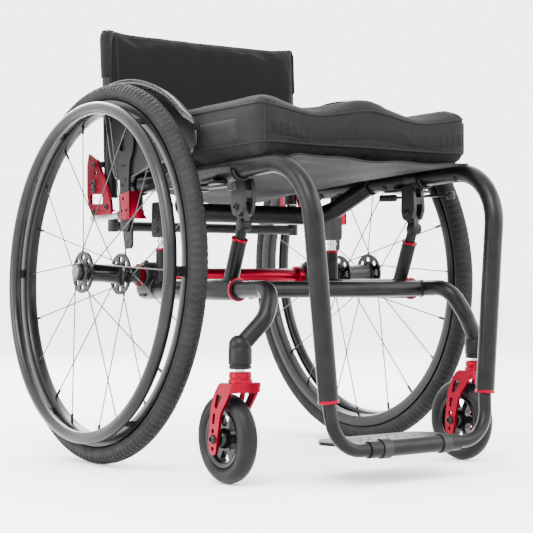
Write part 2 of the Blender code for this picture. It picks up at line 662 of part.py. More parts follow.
# ---- casters ---------------------------------------------------------------
def build_casters(mats):
    for side, sign in SIDES:
        stem = point(sign * CASTER_X, CASTER_STEM_Y, 0)
        axle = stem + Vector((0, CASTER_TRAIL, CASTER_RADIUS))

        def legs(bm):
            outline = [(-0.0170, 0.1430), (0.0170, 0.1430), (0.0290, 0.1280), (0.0380, 0.1080),
                       (0.0445, 0.0640), (0.0440, 0.0460), (0.0360, 0.0405), (0.0260, 0.0430),
                       (0.0225, 0.0640), (0.0140, 0.1000), (-0.0060, 0.1240)]
            window = [(0.0085, 0.1270), (0.0225, 0.1270), (0.0285, 0.1090), (0.0230, 0.1060)]
            slot = [(0.0262, 0.1005), (0.0325, 0.0990), (0.0345, 0.0850), (0.0292, 0.0850)]
            for offset in (-0.0222, 0.0222):
                slab(bm, outline, [window, slot, circle(CASTER_TRAIL, 0.0750, 0.0028, 6),
                                   circle(CASTER_TRAIL, 0.0530, 0.0028, 6)],
                     stem + X * offset, Y, Z, 0.0044)

        fork = piece(f"caster_fork_{side}", mats["red_anodised"], legs)
        combine(fork, [piece("crown", mats["red_anodised"], lambda bm: block(
            bm, stem + Vector((-0.0240, -0.0168, 0.1302)), stem + Vector((0.0240, 0.0168, 0.1434)))),
            piece("cap", mats["red_anodised"], rod, stem + Z * 0.1400, stem + Z * 0.1585, 0.0160, 20),
            piece("stem", mats["red_anodised"], rod, stem + Z * 0.1550, stem + Z * 0.1890, 0.0063, 16)])

        section, ring = 0.0135, CASTER_RADIUS - 0.0120
        profile = []
        for k in range(8):
            turn = math.tau * k / 8
            profile.append((section * math.sin(turn), ring + 0.0120 * math.cos(turn)))
        piece(f"caster_tyre_{side}", mats["caster_rubber"], turned, profile, axle, X, 28, closed=True)

        def core(bm):
            holes = []
            for k in range(6):
                middle = math.tau * (k + 0.5) / 6
                arc = [(0.0325 * math.cos(middle + t), 0.0325 * math.sin(middle + t))
                       for t in (-0.36, 0, 0.36)]
                foot = [(0.0175 * math.cos(middle + t), 0.0175 * math.sin(middle + t))
                        for t in (0.28, -0.28)]
                holes.append(arc + foot)
            holes.append(circle(0, 0, 0.0046, 12))
            slab(bm, circle(0, 0, 0.0386, 28), holes, axle, Y, Z, 0.0110)
        wheel = piece(f"caster_core_{side}", mats["gloss_black"], core)
        boss = [(-0.0160, 0.0046), (-0.0160, 0.0120), (0.0160, 0.0120), (0.0160, 0.0046)]
        combine(wheel, [piece("boss", mats["gloss_black"], turned, boss, axle, X, 12, closed=True)])

        def bolt(bm):
            profile = [(-0.0285, 0.0), (-0.0285, 0.0060), (-0.0247, 0.0060), (-0.0247, 0.0025),
                       (-0.0197, 0.0025), (-0.0197, 0.0042), (0.0197, 0.0042), (0.0197, 0.0025),
                       (0.0247, 0.0025), (0.0247, 0.0060), (0.0285, 0.0060), (0.0285, 0.0)]
            turned(bm, profile, axle, X, 12)
        piece(f"caster_axle_{side}", mats["black_fitting"], bolt)
        hole = bmesh.new()
        rod(hole, axle - X * 0.04, axle + X * 0.04, 0.0030, 12)
        combine(fork, [finish("axle_hole", hole, mats["red_anodised"])], "DIFFERENCE")


# ---- backrest and its brackets ----------------------------------------------
HINGE_X = 0.2000
BRACKET_X = 0.2165
FLANGE_Y = -0.0221
RAIL_X = 0.1900
REAR_BAR = (0.0900, 0.3765)     # (y, z)
REAR_BAR_HALF = 0.1828
BACK_BOTTOM, BACK_TOP = 0.4500, 0.7040


def back_direction():
    return Vector((0, math.sin(BACK_RECLINE), math.cos(BACK_RECLINE)))


def build_backrest(mats):
    """Two canes, the hinge plates bolted to them and the upholstery they carry."""
    up = back_direction()
    outline = [(0.0642, 0.4000), (0.0700, 0.3950), (0.1302, 0.3945), (0.1420, 0.4120),
               (0.1478, 0.4307), (0.1476, 0.4813), (0.1403, 0.5010), (0.1120, 0.4871), (0.0674, 0.4181)]
    window = [(0.0930, 0.4128), (0.1320, 0.4150), (0.1320, 0.4300), (0.0950, 0.4290)]
    small = [(0.1160, 0.4580), (0.1240, 0.4670), (0.1150, 0.4680)]
    for side, sign in SIDES:
        foot = point(sign * BACK_X, *BACK_FOOT)
        piece(f"back_cane_{side}", mats["frame_powder_coat"], rod, foot, foot + up * 0.2800, 0.0110, 16,
              0.002)
        piece(f"back_hinge_plate_{side}", mats["red_anodised"], slab, outline, [window, small],
              point(sign * HINGE_X, 0, 0), Y, Z, 0.0050)

    def upholstery(bm):
        front, rear, columns = 0.0165, 0.0135, 10
        half = BACK_X + 0.0128
        foot = point(0, *BACK_FOOT)
        rings = []
        for level in (BACK_BOTTOM, BACK_TOP):
            centre = foot + up * ((level - foot.z) / up.z)
            ring = []
            for depth, order in ((-front, range(columns + 1)), (rear, range(columns, -1, -1))):
                for i in order:
                    u = 2 * i / columns - 1
                    ring.append(bm.verts.new(centre + X * (u * half) + Y * (0.010 * (1 - u * u) + depth)))
            rings.append(ring)
        bottom, top = rings
        count = len(bottom)
        for k in range(count):
            bm.faces.new((bottom[k], bottom[(k + 1) % count], top[(k + 1) % count], top[k]))
        bm.faces.new(bottom)
        bm.faces.new(top)
    pad = piece("back_upholstery", mats["seat_fabric"], upholstery)
    pockets = []
    for _, sign in SIDES:
        foot = point(sign * BACK_X, *BACK_FOOT)
        pockets.append(piece("pocket", None, rod, foot - up * 0.01, foot + up * 0.2803, 0.0113, 16))
    combine(pad, pockets, "DIFFERENCE")


def build_back_brackets(mats):
    """Red brackets that hold the guards' straps, their rearward rails and the bar that joins them."""
    for side, sign in SIDES:
        outer = [(-0.0241, 0.3830), (0.0090, 0.3815), (0.0100, 0.4228), (-0.0241, 0.4272)]
        holes = [circle(-0.0042, 0.4160, 0.0028, 8), circle(0.0008, 0.3967, 0.0028, 8),
                 circle(-0.0138, 0.3976, 0.0028, 8)]
        body = piece(f"back_bracket_{side}", mats["red_anodised"], slab, outer, holes,
                     point(sign * BRACKET_X, 0, 0), Y, Z, 0.0030)
        notch = [(0.1854, 0.3842), (0.2170, 0.3832), (0.2170, 0.4264), (0.1927, 0.4280),
                 (0.1975, 0.4215), (0.2000, 0.4125), (0.1985, 0.4030), (0.1930, 0.3930)]
        flange = piece("flange", None, slab, [(sign * x, z) for x, z in notch], [],
                       point(0, FLANGE_Y, 0), X, Z, 0.0040)
        rail = piece("rail", None, rod, point(sign * RAIL_X, FLANGE_Y + 0.0010, 0.3955),
                     point(sign * RAIL_X, 0.1500, 0.3915), 0.0068, 10)
        pillar = piece("pillar", None, rod, point(sign * 0.1800, 0.0150, 0.3945),
                       point(sign * 0.1800, 0.0150, 0.4380), 0.0085, 12)
        lug = piece("lug", None, rod, point(sign * 0.1840, REAR_BAR[0], 0.3935),
                    point(sign * 0.1840, REAR_BAR[0], REAR_BAR[1]), 0.0090, 12)
        combine(body, [flange, rail, pillar, lug])
        cutter = piece("bar_bore", None, rod, point(sign * 0.1700, *REAR_BAR),
                       point(sign * (REAR_BAR_HALF + 0.0004), *REAR_BAR), 0.0085 + GAP, 12)
        combine(body, [cutter, seat_tube_cutter(0.0450, -0.0300),
                       above_seat_cutter(0.0450, -0.0300, -0.006)], "DIFFERENCE")
        low, high = sorted((sign * 0.1975, sign * 0.2098))
        receiver = piece(f"guard_receiver_{side}", mats["black_fitting"], block,
                         point(low, FLANGE_Y + 0.0025, 0.3900), point(high, 0.0080, 0.4180))
        tongue = piece("tongue", None, slab, [(-0.0160, 0.3420), (-0.0110, 0.3365), (0.0040, 0.3365),
                                              (0.0078, 0.3410), (0.0078, 0.3950), (-0.0160, 0.3950)], [],
                       point(sign * 0.2076, 0, 0), Y, Z, 0.0042)
        combine(receiver, [tongue])
    piece("rear_bar", mats["black_fitting"], rod, point(-REAR_BAR_HALF, *REAR_BAR),
          point(REAR_BAR_HALF, *REAR_BAR), 0.0085, 12)


# ---- side guards -----------------------------------------------------------
GUARD_X = 0.2090
GUARD_ARC = 0.3050
STRAP_X = 0.2125


def build_side_guards(mats):
    """Panels that follow the tyre, each on a strap that drops into the red bracket's channel."""
    for side, sign in SIDES:
        outline = []
        for k in range(15):
            turn = math.radians(71.5 + 61.5 * k / 14)
            outline.append((GUARD_ARC * math.cos(turn), HUB_Z + GUARD_ARC * math.sin(turn)))
        outline += [(-0.2111, 0.5000), (-0.2100, 0.4860), (-0.1999, 0.4752), (-0.0740, 0.4635),
                    (-0.0142, 0.4487), (0.0200, 0.4480), (0.0349, 0.4518), (0.0514, 0.4903),
                    (0.0580, 0.5235), (0.0640, 0.5500), (0.0780, 0.5680), (0.0920, 0.5790)]
        panel = piece(f"side_guard_{side}", mats["guard_composite"], slab, outline, [],
                      point(sign * GUARD_X, 0, 0), Y, Z, 0.0030)
        strap = [(-0.0160, 0.3690), (-0.0110, 0.3640), (0.0070, 0.3640), (0.0120, 0.3690), (0.0130, 0.4400),
                 (0.0180, 0.4740), (0.0290, 0.4900), (0.0300, 0.5060), (0.0240, 0.5220), (0.0120, 0.5320),
                 (-0.0020, 0.5345), (-0.0160, 0.5310), (-0.0280, 0.5200), (-0.0322, 0.5080),
                 (-0.0300, 0.4900), (-0.0190, 0.4740), (-0.0160, 0.4400)]
        oval = circle(0.0048, 0.5025, 0.0080, 12, 1.2)
        combine(panel, [piece("strap", None, slab, strap, [oval], point(sign * STRAP_X, 0, 0),
                              Y, Z, 0.0044)])


def main():
    for obj in list(bpy.data.objects):
        bpy.data.objects.remove(obj)
    mats = make_materials()
    build_rear_wheels(mats)
    build_base_frame(mats)
    build_seat_frame(mats)
    build_struts(mats)
    build_cushion(mats)
    build_footrest(mats)
    build_casters(mats)
    build_backrest(mats)
    build_back_brackets(mats)
    build_side_guards(mats)
    build_wheel_locks(mats)


main()
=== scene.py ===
"""Looks of a rigid manual wheelchair, built as typed sub-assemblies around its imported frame.

The chair faces -Y and stands on z = 0. R is the user's right (-X), L the left (+X).
Every length is in metres.
"""
import json
import logging
import math
from dataclasses import dataclass
from enum import Enum
from typing import Callable, Iterable, Optional, Sequence

import bmesh
import bpy
from mathutils import Matrix, Vector
from mathutils.bvhtree import BVHTree
from mathutils.geometry import tessellate_polygon


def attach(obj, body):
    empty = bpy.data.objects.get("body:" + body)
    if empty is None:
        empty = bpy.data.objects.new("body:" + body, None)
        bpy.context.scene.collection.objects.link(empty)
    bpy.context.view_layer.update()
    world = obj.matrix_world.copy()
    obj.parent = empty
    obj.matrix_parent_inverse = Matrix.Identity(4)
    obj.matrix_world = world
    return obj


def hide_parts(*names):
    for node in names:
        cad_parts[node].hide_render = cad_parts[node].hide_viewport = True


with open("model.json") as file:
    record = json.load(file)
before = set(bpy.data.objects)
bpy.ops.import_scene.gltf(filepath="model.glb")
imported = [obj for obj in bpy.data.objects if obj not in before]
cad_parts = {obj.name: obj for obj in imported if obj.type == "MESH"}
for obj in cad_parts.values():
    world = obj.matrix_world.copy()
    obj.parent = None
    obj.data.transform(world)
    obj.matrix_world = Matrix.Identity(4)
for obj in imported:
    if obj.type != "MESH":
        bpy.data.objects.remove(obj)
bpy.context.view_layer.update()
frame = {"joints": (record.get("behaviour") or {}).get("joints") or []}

log = logging.getLogger("wheelchair")
X, Y, Z = Vector((1, 0, 0)), Vector((0, 1, 0)), Vector((0, 0, 1))
Point2 = tuple[float, float]
Point3 = tuple[float, float, float]
Socket = bpy.types.NodeSocket


class Side(Enum):
    """A side of the chair, named as the user's."""

    RIGHT = ("R", -1)
    LEFT = ("L", 1)

    @property
    def tag(self) -> str:
        """The letter that ends this side's names."""
        return self.value[0]

    @property
    def sign(self) -> int:
        """The sign of X on this side."""
        return self.value[1]


def joint(name: str) -> dict:
    """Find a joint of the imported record.

    Args:
        name: The joint's name.

    Returns:
        The joint's entry, with pos_m and axis.
    """
    return next(entry for entry in frame["joints"] if entry["name"] == name)


AXLE = Vector(joint("wheel_spin_L")["pos_m"])


def at(x: float, y: float, z: float) -> Vector:
    """Give a place whose y is counted from the rear axle.

    Args:
        x: Across the chair.
        y: Along the chair, from the axle.
        z: Height over the floor.

    Returns:
        The place in the row's frame.
    """
    return Vector((x, y + AXLE.y, z))


# ---- finishes ---------------------------------------------------------------
class NodeSheet:
    """A small helper that lays shader nodes and wires them."""

    def __init__(self, name: str) -> None:
        """Start a material with one Principled shader.

        Args:
            name: The material's name.
        """
        self.material = bpy.data.materials.new(name)
        self.material.use_nodes = True
        self.tree = self.material.node_tree
        self.shader = self.tree.nodes["Principled BSDF"]
        self.place = self.add("ShaderNodeTexCoord").outputs["Object"]

    def add(self, kind: str, **settings) -> bpy.types.Node:
        """Add a node.

        Args:
            kind: The node's type name.
            settings: Attributes to set; names of inputs go through set().

        Returns:
            The new node.
        """
        node = self.tree.nodes.new(kind)
        for key, value in settings.items():
            setattr(node, key, value)
        return node

    def set(self, node: bpy.types.Node, **values) -> bpy.types.Node:
        """Set a node's inputs; an underscore in a name stands for a space.

        Args:
            node: The node.
            values: The inputs' values by name.

        Returns:
            The same node.
        """
        for key, value in values.items():
            node.inputs[key.replace("_", " ")].default_value = value
        return node

    def link(self, source: Socket, target: Socket) -> None:
        """Wire an output to an input."""
        self.tree.links.new(source, target)

    def noise(self, scale: float, detail: float = 3.0, stretch: Point3 = (1.0, 1.0, 1.0)) -> Socket:
        """Lay a noise texture in object space.

        Args:
            scale: Cells per metre.
            detail: Octaves.
            stretch: Scale along each axis.

        Returns:
            The noise's value output.
        """
        mapping = self.add("ShaderNodeMapping")
        mapping.inputs["Scale"].default_value = stretch
        self.link(self.place, mapping.inputs["Vector"])
        node = self.set(self.add("ShaderNodeTexNoise"), Scale=scale, Detail=detail)
        self.link(mapping.outputs["Vector"], node.inputs["Vector"])
        return node.outputs["Fac"]

    def cells(self, scale: float) -> tuple[Socket, Socket]:
        """Lay Voronoi cells and give their random value.

        Args:
            scale: Cells per metre.

        Returns:
            The cells' random colour and the distance from their seeds.
        """
        node = self.set(self.add("ShaderNodeTexVoronoi"), Scale=scale)
        self.link(self.place, node.inputs["Vector"])
        return node.outputs["Color"], node.outputs["Distance"]

    def ramp(self, value: Socket, low: float, high: float, start: float = 0.3,
             end: float = 0.7) -> Socket:
        """Map a value to a range of numbers.

        Args:
            value: The socket to read.
            low: Result at start.
            high: Result at end.
            start: Value that gives low.
            end: Value that gives high.

        Returns:
            The mapped socket.
        """
        node = self.add("ShaderNodeMapRange")
        for name, number in (("From Min", start), ("From Max", end), ("To Min", low), ("To Max", high)):
            node.inputs[name].default_value = number
        self.link(value, node.inputs["Value"])
        return node.outputs["Result"]

    def blend(self, value: Socket, first: Point3, second: Point3) -> Socket:
        """Mix two colours by a value and give the colour.

        Args:
            value: The socket that mixes, from 0 to 1.
            first: Colour at 0.
            second: Colour at 1.

        Returns:
            The mixed colour.
        """
        node = self.add("ShaderNodeMix", data_type="RGBA")
        for socket in node.inputs:
            if socket.identifier == "A_Color":
                socket.default_value = (*first, 1.0)
            if socket.identifier == "B_Color":
                socket.default_value = (*second, 1.0)
        self.link(value, node.inputs["Factor"])
        return next(out for out in node.outputs if out.identifier == "Result_Color")

    def math(self, operation: str, first: Socket | float, second: Socket | float) -> Socket:
        """Combine two values; each may be a socket or a number.

        Args:
            operation: The sum to do, such as ADD.
            first: The first value.
            second: The second value.

        Returns:
            The result's socket.
        """
        node = self.add("ShaderNodeMath", operation=operation)
        for index, value in enumerate((first, second)):
            if isinstance(value, (int, float)):
                node.inputs[index].default_value = value
            else:
                self.link(value, node.inputs[index])
        return node.outputs[0]

    def bump(self, height: Socket, strength: float, distance: float) -> None:
        """Feed a height to the shader's normal.

        Args:
            height: The socket with the height.
            strength: Share of the effect, from 0 to 1.
            distance: Height of a step of 1, in metres.
        """
        node = self.set(self.add("ShaderNodeBump"), Strength=strength, Distance=distance)
        self.link(height, node.inputs["Height"])
        self.link(node.outputs["Normal"], self.shader.inputs["Normal"])


@dataclass(frozen=True)
class Paint:
    """A hard finish: powder coat, anodising, moulded plastic or bare metal.

    The tone wanders between two shades, fine grains sparkle and roughen the
    surface, and rubbed patches are a little smoother.
    """

    name: str
    shade: Point3
    other_shade: Point3
    roughness: float
    metallic: float = 0.0
    grain: float = 1500.0
    grain_depth: float = 0.00004
    patchiness: float = 0.08
    coat: float = 0.0
    brushed: bool = False
    specular: float = 0.22

    def build(self) -> bpy.types.Material:
        """Make the material.

        Returns:
            The new material.
        """
        sheet = NodeSheet(self.name)
        tone = sheet.noise(38.0, 4.0)
        cell_color, distance = sheet.cells(self.grain)
        split = sheet.add("ShaderNodeSeparateColor")
        sheet.link(cell_color, split.inputs["Color"])
        sparkle = sheet.ramp(split.outputs["Red"], 0.0, 1.0, 0.80, 1.0)
        mixed = sheet.math("ADD", sheet.ramp(tone, 0.0, 0.6), sheet.math("MULTIPLY", sparkle, 0.4))
        color = sheet.blend(mixed, self.shade, self.other_shade)
        sheet.link(color, sheet.shader.inputs["Base Color"])
        smudge = sheet.noise(14.0, 5.0)
        rough = sheet.ramp(smudge, self.roughness - self.patchiness / 2, self.roughness + self.patchiness)
        sheet.link(rough, sheet.shader.inputs["Roughness"])
        sheet.shader.inputs["Metallic"].default_value = self.metallic
        sheet.shader.inputs["Coat Weight"].default_value = self.coat
        sheet.shader.inputs["Coat Roughness"].default_value = 0.08
        sheet.shader.inputs["Specular IOR Level"].default_value = self.specular
        if self.brushed:
            fine = sheet.noise(900.0, 2.0, (1.0, 1.0, 0.04))
            sheet.bump(fine, 0.25, self.grain_depth)
        else:
            sheet.bump(distance, 0.35, self.grain_depth)
        return sheet.material


@dataclass(frozen=True)
class Rubber:
    """Vulcanised rubber with mould grain and a light film of dust."""

    name: str
    shade: Point3
    dust: Point3
    roughness: float = 0.62

    def build(self) -> bpy.types.Material:
        """Make the material.

        Returns:
            The new material.
        """
        sheet = NodeSheet(self.name)
        cloud = sheet.noise(26.0, 6.0)
        sheet.link(sheet.blend(sheet.ramp(cloud, 0.0, 0.8), self.shade, self.dust),
                   sheet.shader.inputs["Base Color"])
        sheet.link(sheet.ramp(sheet.noise(60.0, 3.0), self.roughness - 0.08, self.roughness + 0.12),
                   sheet.shader.inputs["Roughness"])
        sheet.shader.inputs["Specular IOR Level"].default_value = 0.10
        sheet.bump(sheet.noise(1400.0, 3.0), 0.3, 0.00008)
        return sheet.material


class Weave(Enum):
    """How a cloth's threads cross."""

    PLAIN = (1.0, 1.0)
    TWILL = (1.0, 0.55)
    RIBBED = (0.25, 2.2)


@dataclass(frozen=True)
class Fabric:
    """Woven or knitted cloth: crossing threads, fuzz and a soft sheen."""

    name: str
    shade: Point3
    thread: Point3
    pitch: float
    weave: Weave = Weave.PLAIN
    depth: float = 0.00025
    sheen: float = 0.25
    roughness: float = 0.88

    def build(self) -> bpy.types.Material:
        """Make the material.

        Returns:
            The new material.
        """
        sheet = NodeSheet(self.name)
        split = sheet.add("ShaderNodeSeparateXYZ")
        sheet.link(sheet.place, split.inputs["Vector"])
        across, along = self.weave.value
        turns = math.tau / self.pitch
        waves = []
        for axis, share in (("X", across), ("Y", across), ("Z", along)):
            wave = sheet.math("SINE", sheet.math("MULTIPLY", split.outputs[axis], turns * share), 0.0)
            waves.append(wave)
        cross = sheet.math("ADD", sheet.math("MULTIPLY", waves[0], waves[2]),
                           sheet.math("MULTIPLY", waves[1], waves[2]))
        flat = sheet.math("MULTIPLY", waves[0], waves[1])
        height = sheet.math("ADD", sheet.math("ADD", cross, flat), sheet.noise(1600.0, 2.0))
        fuzz = sheet.noise(420.0, 5.0)
        shadow = sheet.ramp(height, 0.0, 0.75, -1.0, 2.0)
        mixed = sheet.math("ADD", shadow, sheet.ramp(fuzz, -0.2, 0.3))
        sheet.link(sheet.blend(mixed, self.shade, self.thread), sheet.shader.inputs["Base Color"])
        sheet.link(sheet.ramp(fuzz, self.roughness - 0.06, self.roughness + 0.08),
                   sheet.shader.inputs["Roughness"])
        sheet.shader.inputs["Specular IOR Level"].default_value = 0.08
        sheet.shader.inputs["Sheen Weight"].default_value = self.sheen * 0.12
        sheet.shader.inputs["Sheen Roughness"].default_value = 0.45
        sheet.bump(height, 0.55, self.depth)
        return sheet.material


class Finish(Enum):
    """Every finish of the chair, with the record slot that it belongs to."""

    COAT = (Paint("anthracite_powder_coat", (0.0048, 0.0048, 0.0050), (0.0110, 0.0110, 0.0115), 0.31, 0.60,
                  2600.0, 0.00006, 0.10, 0.0, False, 0.16), "frame_powder_coat")
    RED = (Paint("red_anodising", (0.1450, 0.0002, 0.0090), (0.2050, 0.0006, 0.0140), 0.27, 0.80,
                 2200.0, 0.00002, 0.08, 0.0, False, 0.06), "red_anodised")
    FITTING = (Paint("black_cast_fitting", (0.0036, 0.0036, 0.0040), (0.0094, 0.0094, 0.0101), 0.38, 0.2,
                     1800.0, 0.00006), "black_fitting")
    GLOSS = (Paint("gloss_black_lacquer", (0.0018, 0.0018, 0.0020), (0.0038, 0.0038, 0.0042), 0.13, 0.1,
                   1200.0, 0.00001, 0.05, 0.0, False, 0.20), "gloss_black")
    TYRE = (Rubber("tyre_compound", (0.0062, 0.0062, 0.0064), (0.0105, 0.0105, 0.0108), 0.58), "tyre_rubber")
    CASTER_TREAD = (Rubber("caster_polyurethane", (0.0040, 0.0040, 0.0042), (0.0080, 0.0080, 0.0083), 0.40),
                    "caster_rubber")
    RIM = (Paint("satin_black_alloy", (0.0101, 0.0104, 0.0112), (0.0173, 0.0176, 0.0187), 0.30, 0.65,
                 2400.0, 0.00003, 0.10, 0.05), "rim_alloy")
    STEEL = (Paint("polished_steel", (0.34, 0.34, 0.35), (0.46, 0.46, 0.475), 0.20, 1.0,
                   1500.0, 0.00003, 0.08, 0.0, True), "steel")
    SPOKE = (Paint("dark_spoke_steel", (0.0360, 0.0360, 0.0378), (0.0612, 0.0612, 0.0630), 0.32, 0.9,
                   2000.0, 0.00002), "steel")
    BARE = (Paint("brushed_aluminium", (0.36, 0.365, 0.37), (0.46, 0.465, 0.475), 0.32, 1.0,
                  1500.0, 0.00005, 0.10, 0.0, True), "bare_aluminium")
    CAP = (Paint("hub_cap_grey", (0.0700, 0.0700, 0.0730), (0.1000, 0.1000, 0.1030), 0.34, 0.4,
                 1800.0, 0.00003), "bare_aluminium")
    BACK_CLOTH = (Fabric("back_cloth", (0.0016, 0.0016, 0.0018), (0.0052, 0.0052, 0.0055), 0.0016,
                         Weave.PLAIN, 0.0002, 0.22), "seat_fabric")
    SLING_CLOTH = (Fabric("sling_nylon", (0.0060, 0.0060, 0.0064), (0.0150, 0.0150, 0.0156), 0.0012,
                          Weave.TWILL, 0.00012, 0.15, 0.62), "seat_fabric")
    COVER = (Fabric("cushion_knit", (0.0030, 0.0030, 0.0032), (0.0120, 0.0120, 0.0126), 0.0017,
                    Weave.PLAIN, 0.0003, 0.30), "cushion_fabric")
    BAND = (Fabric("ribbed_band", (0.0022, 0.0022, 0.0024), (0.0100, 0.0100, 0.0105), 0.0030,
                   Weave.RIBBED, 0.0005, 0.15, 0.80), "cushion_fabric")
    PIPING = (Fabric("piping_cord", (0.0050, 0.0050, 0.0054), (0.0126, 0.0126, 0.0133), 0.0011,
                     Weave.PLAIN, 0.0002, 0.2, 0.8), "cushion_fabric")
    PATCH = (Fabric("blank_patch", (0.0072, 0.0072, 0.0076), (0.0151, 0.0151, 0.0158), 0.0010,
                    Weave.TWILL, 0.0001, 0.1, 0.6), "cushion_fabric")
    STRAP = (Paint("moulded_strap", (0.0020, 0.0020, 0.0022), (0.0044, 0.0044, 0.0047), 0.42, 0.0,
                   1400.0, 0.00006, 0.08, 0.0, False, 0.12), "guard_composite")
    # The side wraps' cloth is a lighter copy of the back cloth: a painted highlight for the light on the
    # back's rounded side edges.
    FLAP = (Fabric("side_wrap_cloth_painted_highlight", (0.0026, 0.0026, 0.0028), (0.0080, 0.0080, 0.0085), 0.0014,
                   Weave.PLAIN, 0.0002, 0.3), "seat_fabric")
    GUARD = (Paint("polished_guard_composite", (0.0043, 0.0043, 0.0047), (0.0094, 0.0094, 0.0101), 0.22, 0.0,
                   900.0, 0.00002, 0.08, 0.2), "guard_composite")

    @property
    def material(self) -> bpy.types.Material:
        """The finish's material, made once."""
        recipe = self.value[0]
        return bpy.data.materials.get(recipe.name) or recipe.build()

    @property
    def slot(self) -> str:
        """The record's material slot."""
        return self.value[1]


# ---- shapes -----------------------------------------------------------------
def basis(direction: Vector) -> tuple[Vector, Vector, Vector]:
    """Give three axes at right angles, the first along a direction.

    Args:
        direction: The way of the first axis.

    Returns:
        Three unit vectors.
    """
    first = Vector(direction).normalized()
    hint = Z if abs(first.z) < 0.95 else X
    second = hint.cross(first).normalized()
    return first, second, first.cross(second)


def rounded(points: Iterable[Vector], radius: float, steps: int = 12) -> list[Vector]:
    """Turn every inner corner of a path into an arc.

    Args:
        points: The path's corners.
        radius: Bend radius of the centre line.
        steps: Straight pieces in each arc.

    Returns:
        The path with its bends.
    """
    corners = [Vector(p) for p in points]
    path = [corners[0]]
    for before, corner, after in zip(corners, corners[1:], corners[2:]):
        into, out = (corner - before).normalized(), (after - corner).normalized()
        turn = into.angle(out)
        start = corner - into * radius * math.tan(turn / 2)
        normal = (out - into * out.dot(into)).normalized()
        centre = start + normal * radius
        for i in range(steps + 1):
            angle = turn * i / steps
            path.append(centre - normal * radius * math.cos(angle) + into * radius * math.sin(angle))
    path.append(corners[-1])
    return path


def circle(cx: float, cy: float, radius: float, count: int = 24, stretch: float = 1.0,
           tilt: float = 0.0) -> list[Point2]:
    """Points of a circle, or of an ellipse stretched along its tilted second axis.

    Args:
        cx: First coordinate of the centre.
        cy: Second coordinate of the centre.
        radius: Its radius.
        count: Number of points.
        stretch: Scale of the second axis.
        tilt: Turn of both axes, in radians.

    Returns:
        The points in order.
    """
    points = []
    for k in range(count):
        turn = math.tau * k / count
        a, b = radius * math.cos(turn), radius * stretch * math.sin(turn)
        points.append((cx + a * math.cos(tilt) - b * math.sin(tilt),
                       cy + a * math.sin(tilt) + b * math.cos(tilt)))
    return points


def soften(outline: Sequence[Point2], radius: float, steps: int = 4) -> list[Point2]:
    """Round the corners of a flat outline.

    Args:
        outline: The outline's corners.
        radius: Corner radius, made smaller where a side is short.
        steps: Pieces in each corner.

    Returns:
        The outline with rounded corners.
    """
    result = []
    count = len(outline)
    for k in range(count):
        before, corner, after = (Vector(outline[(k + d) % count]) for d in (-1, 0, 1))
        reach = min(radius, (corner - before).length * 0.45, (after - corner).length * 0.45)
        start = corner + (before - corner).normalized() * reach
        end = corner + (after - corner).normalized() * reach
        for i in range(steps + 1):
            t = i / steps
            spot = start * (1 - t) ** 2 + corner * 2 * t * (1 - t) + end * t ** 2
            result.append((spot.x, spot.y))
    return result


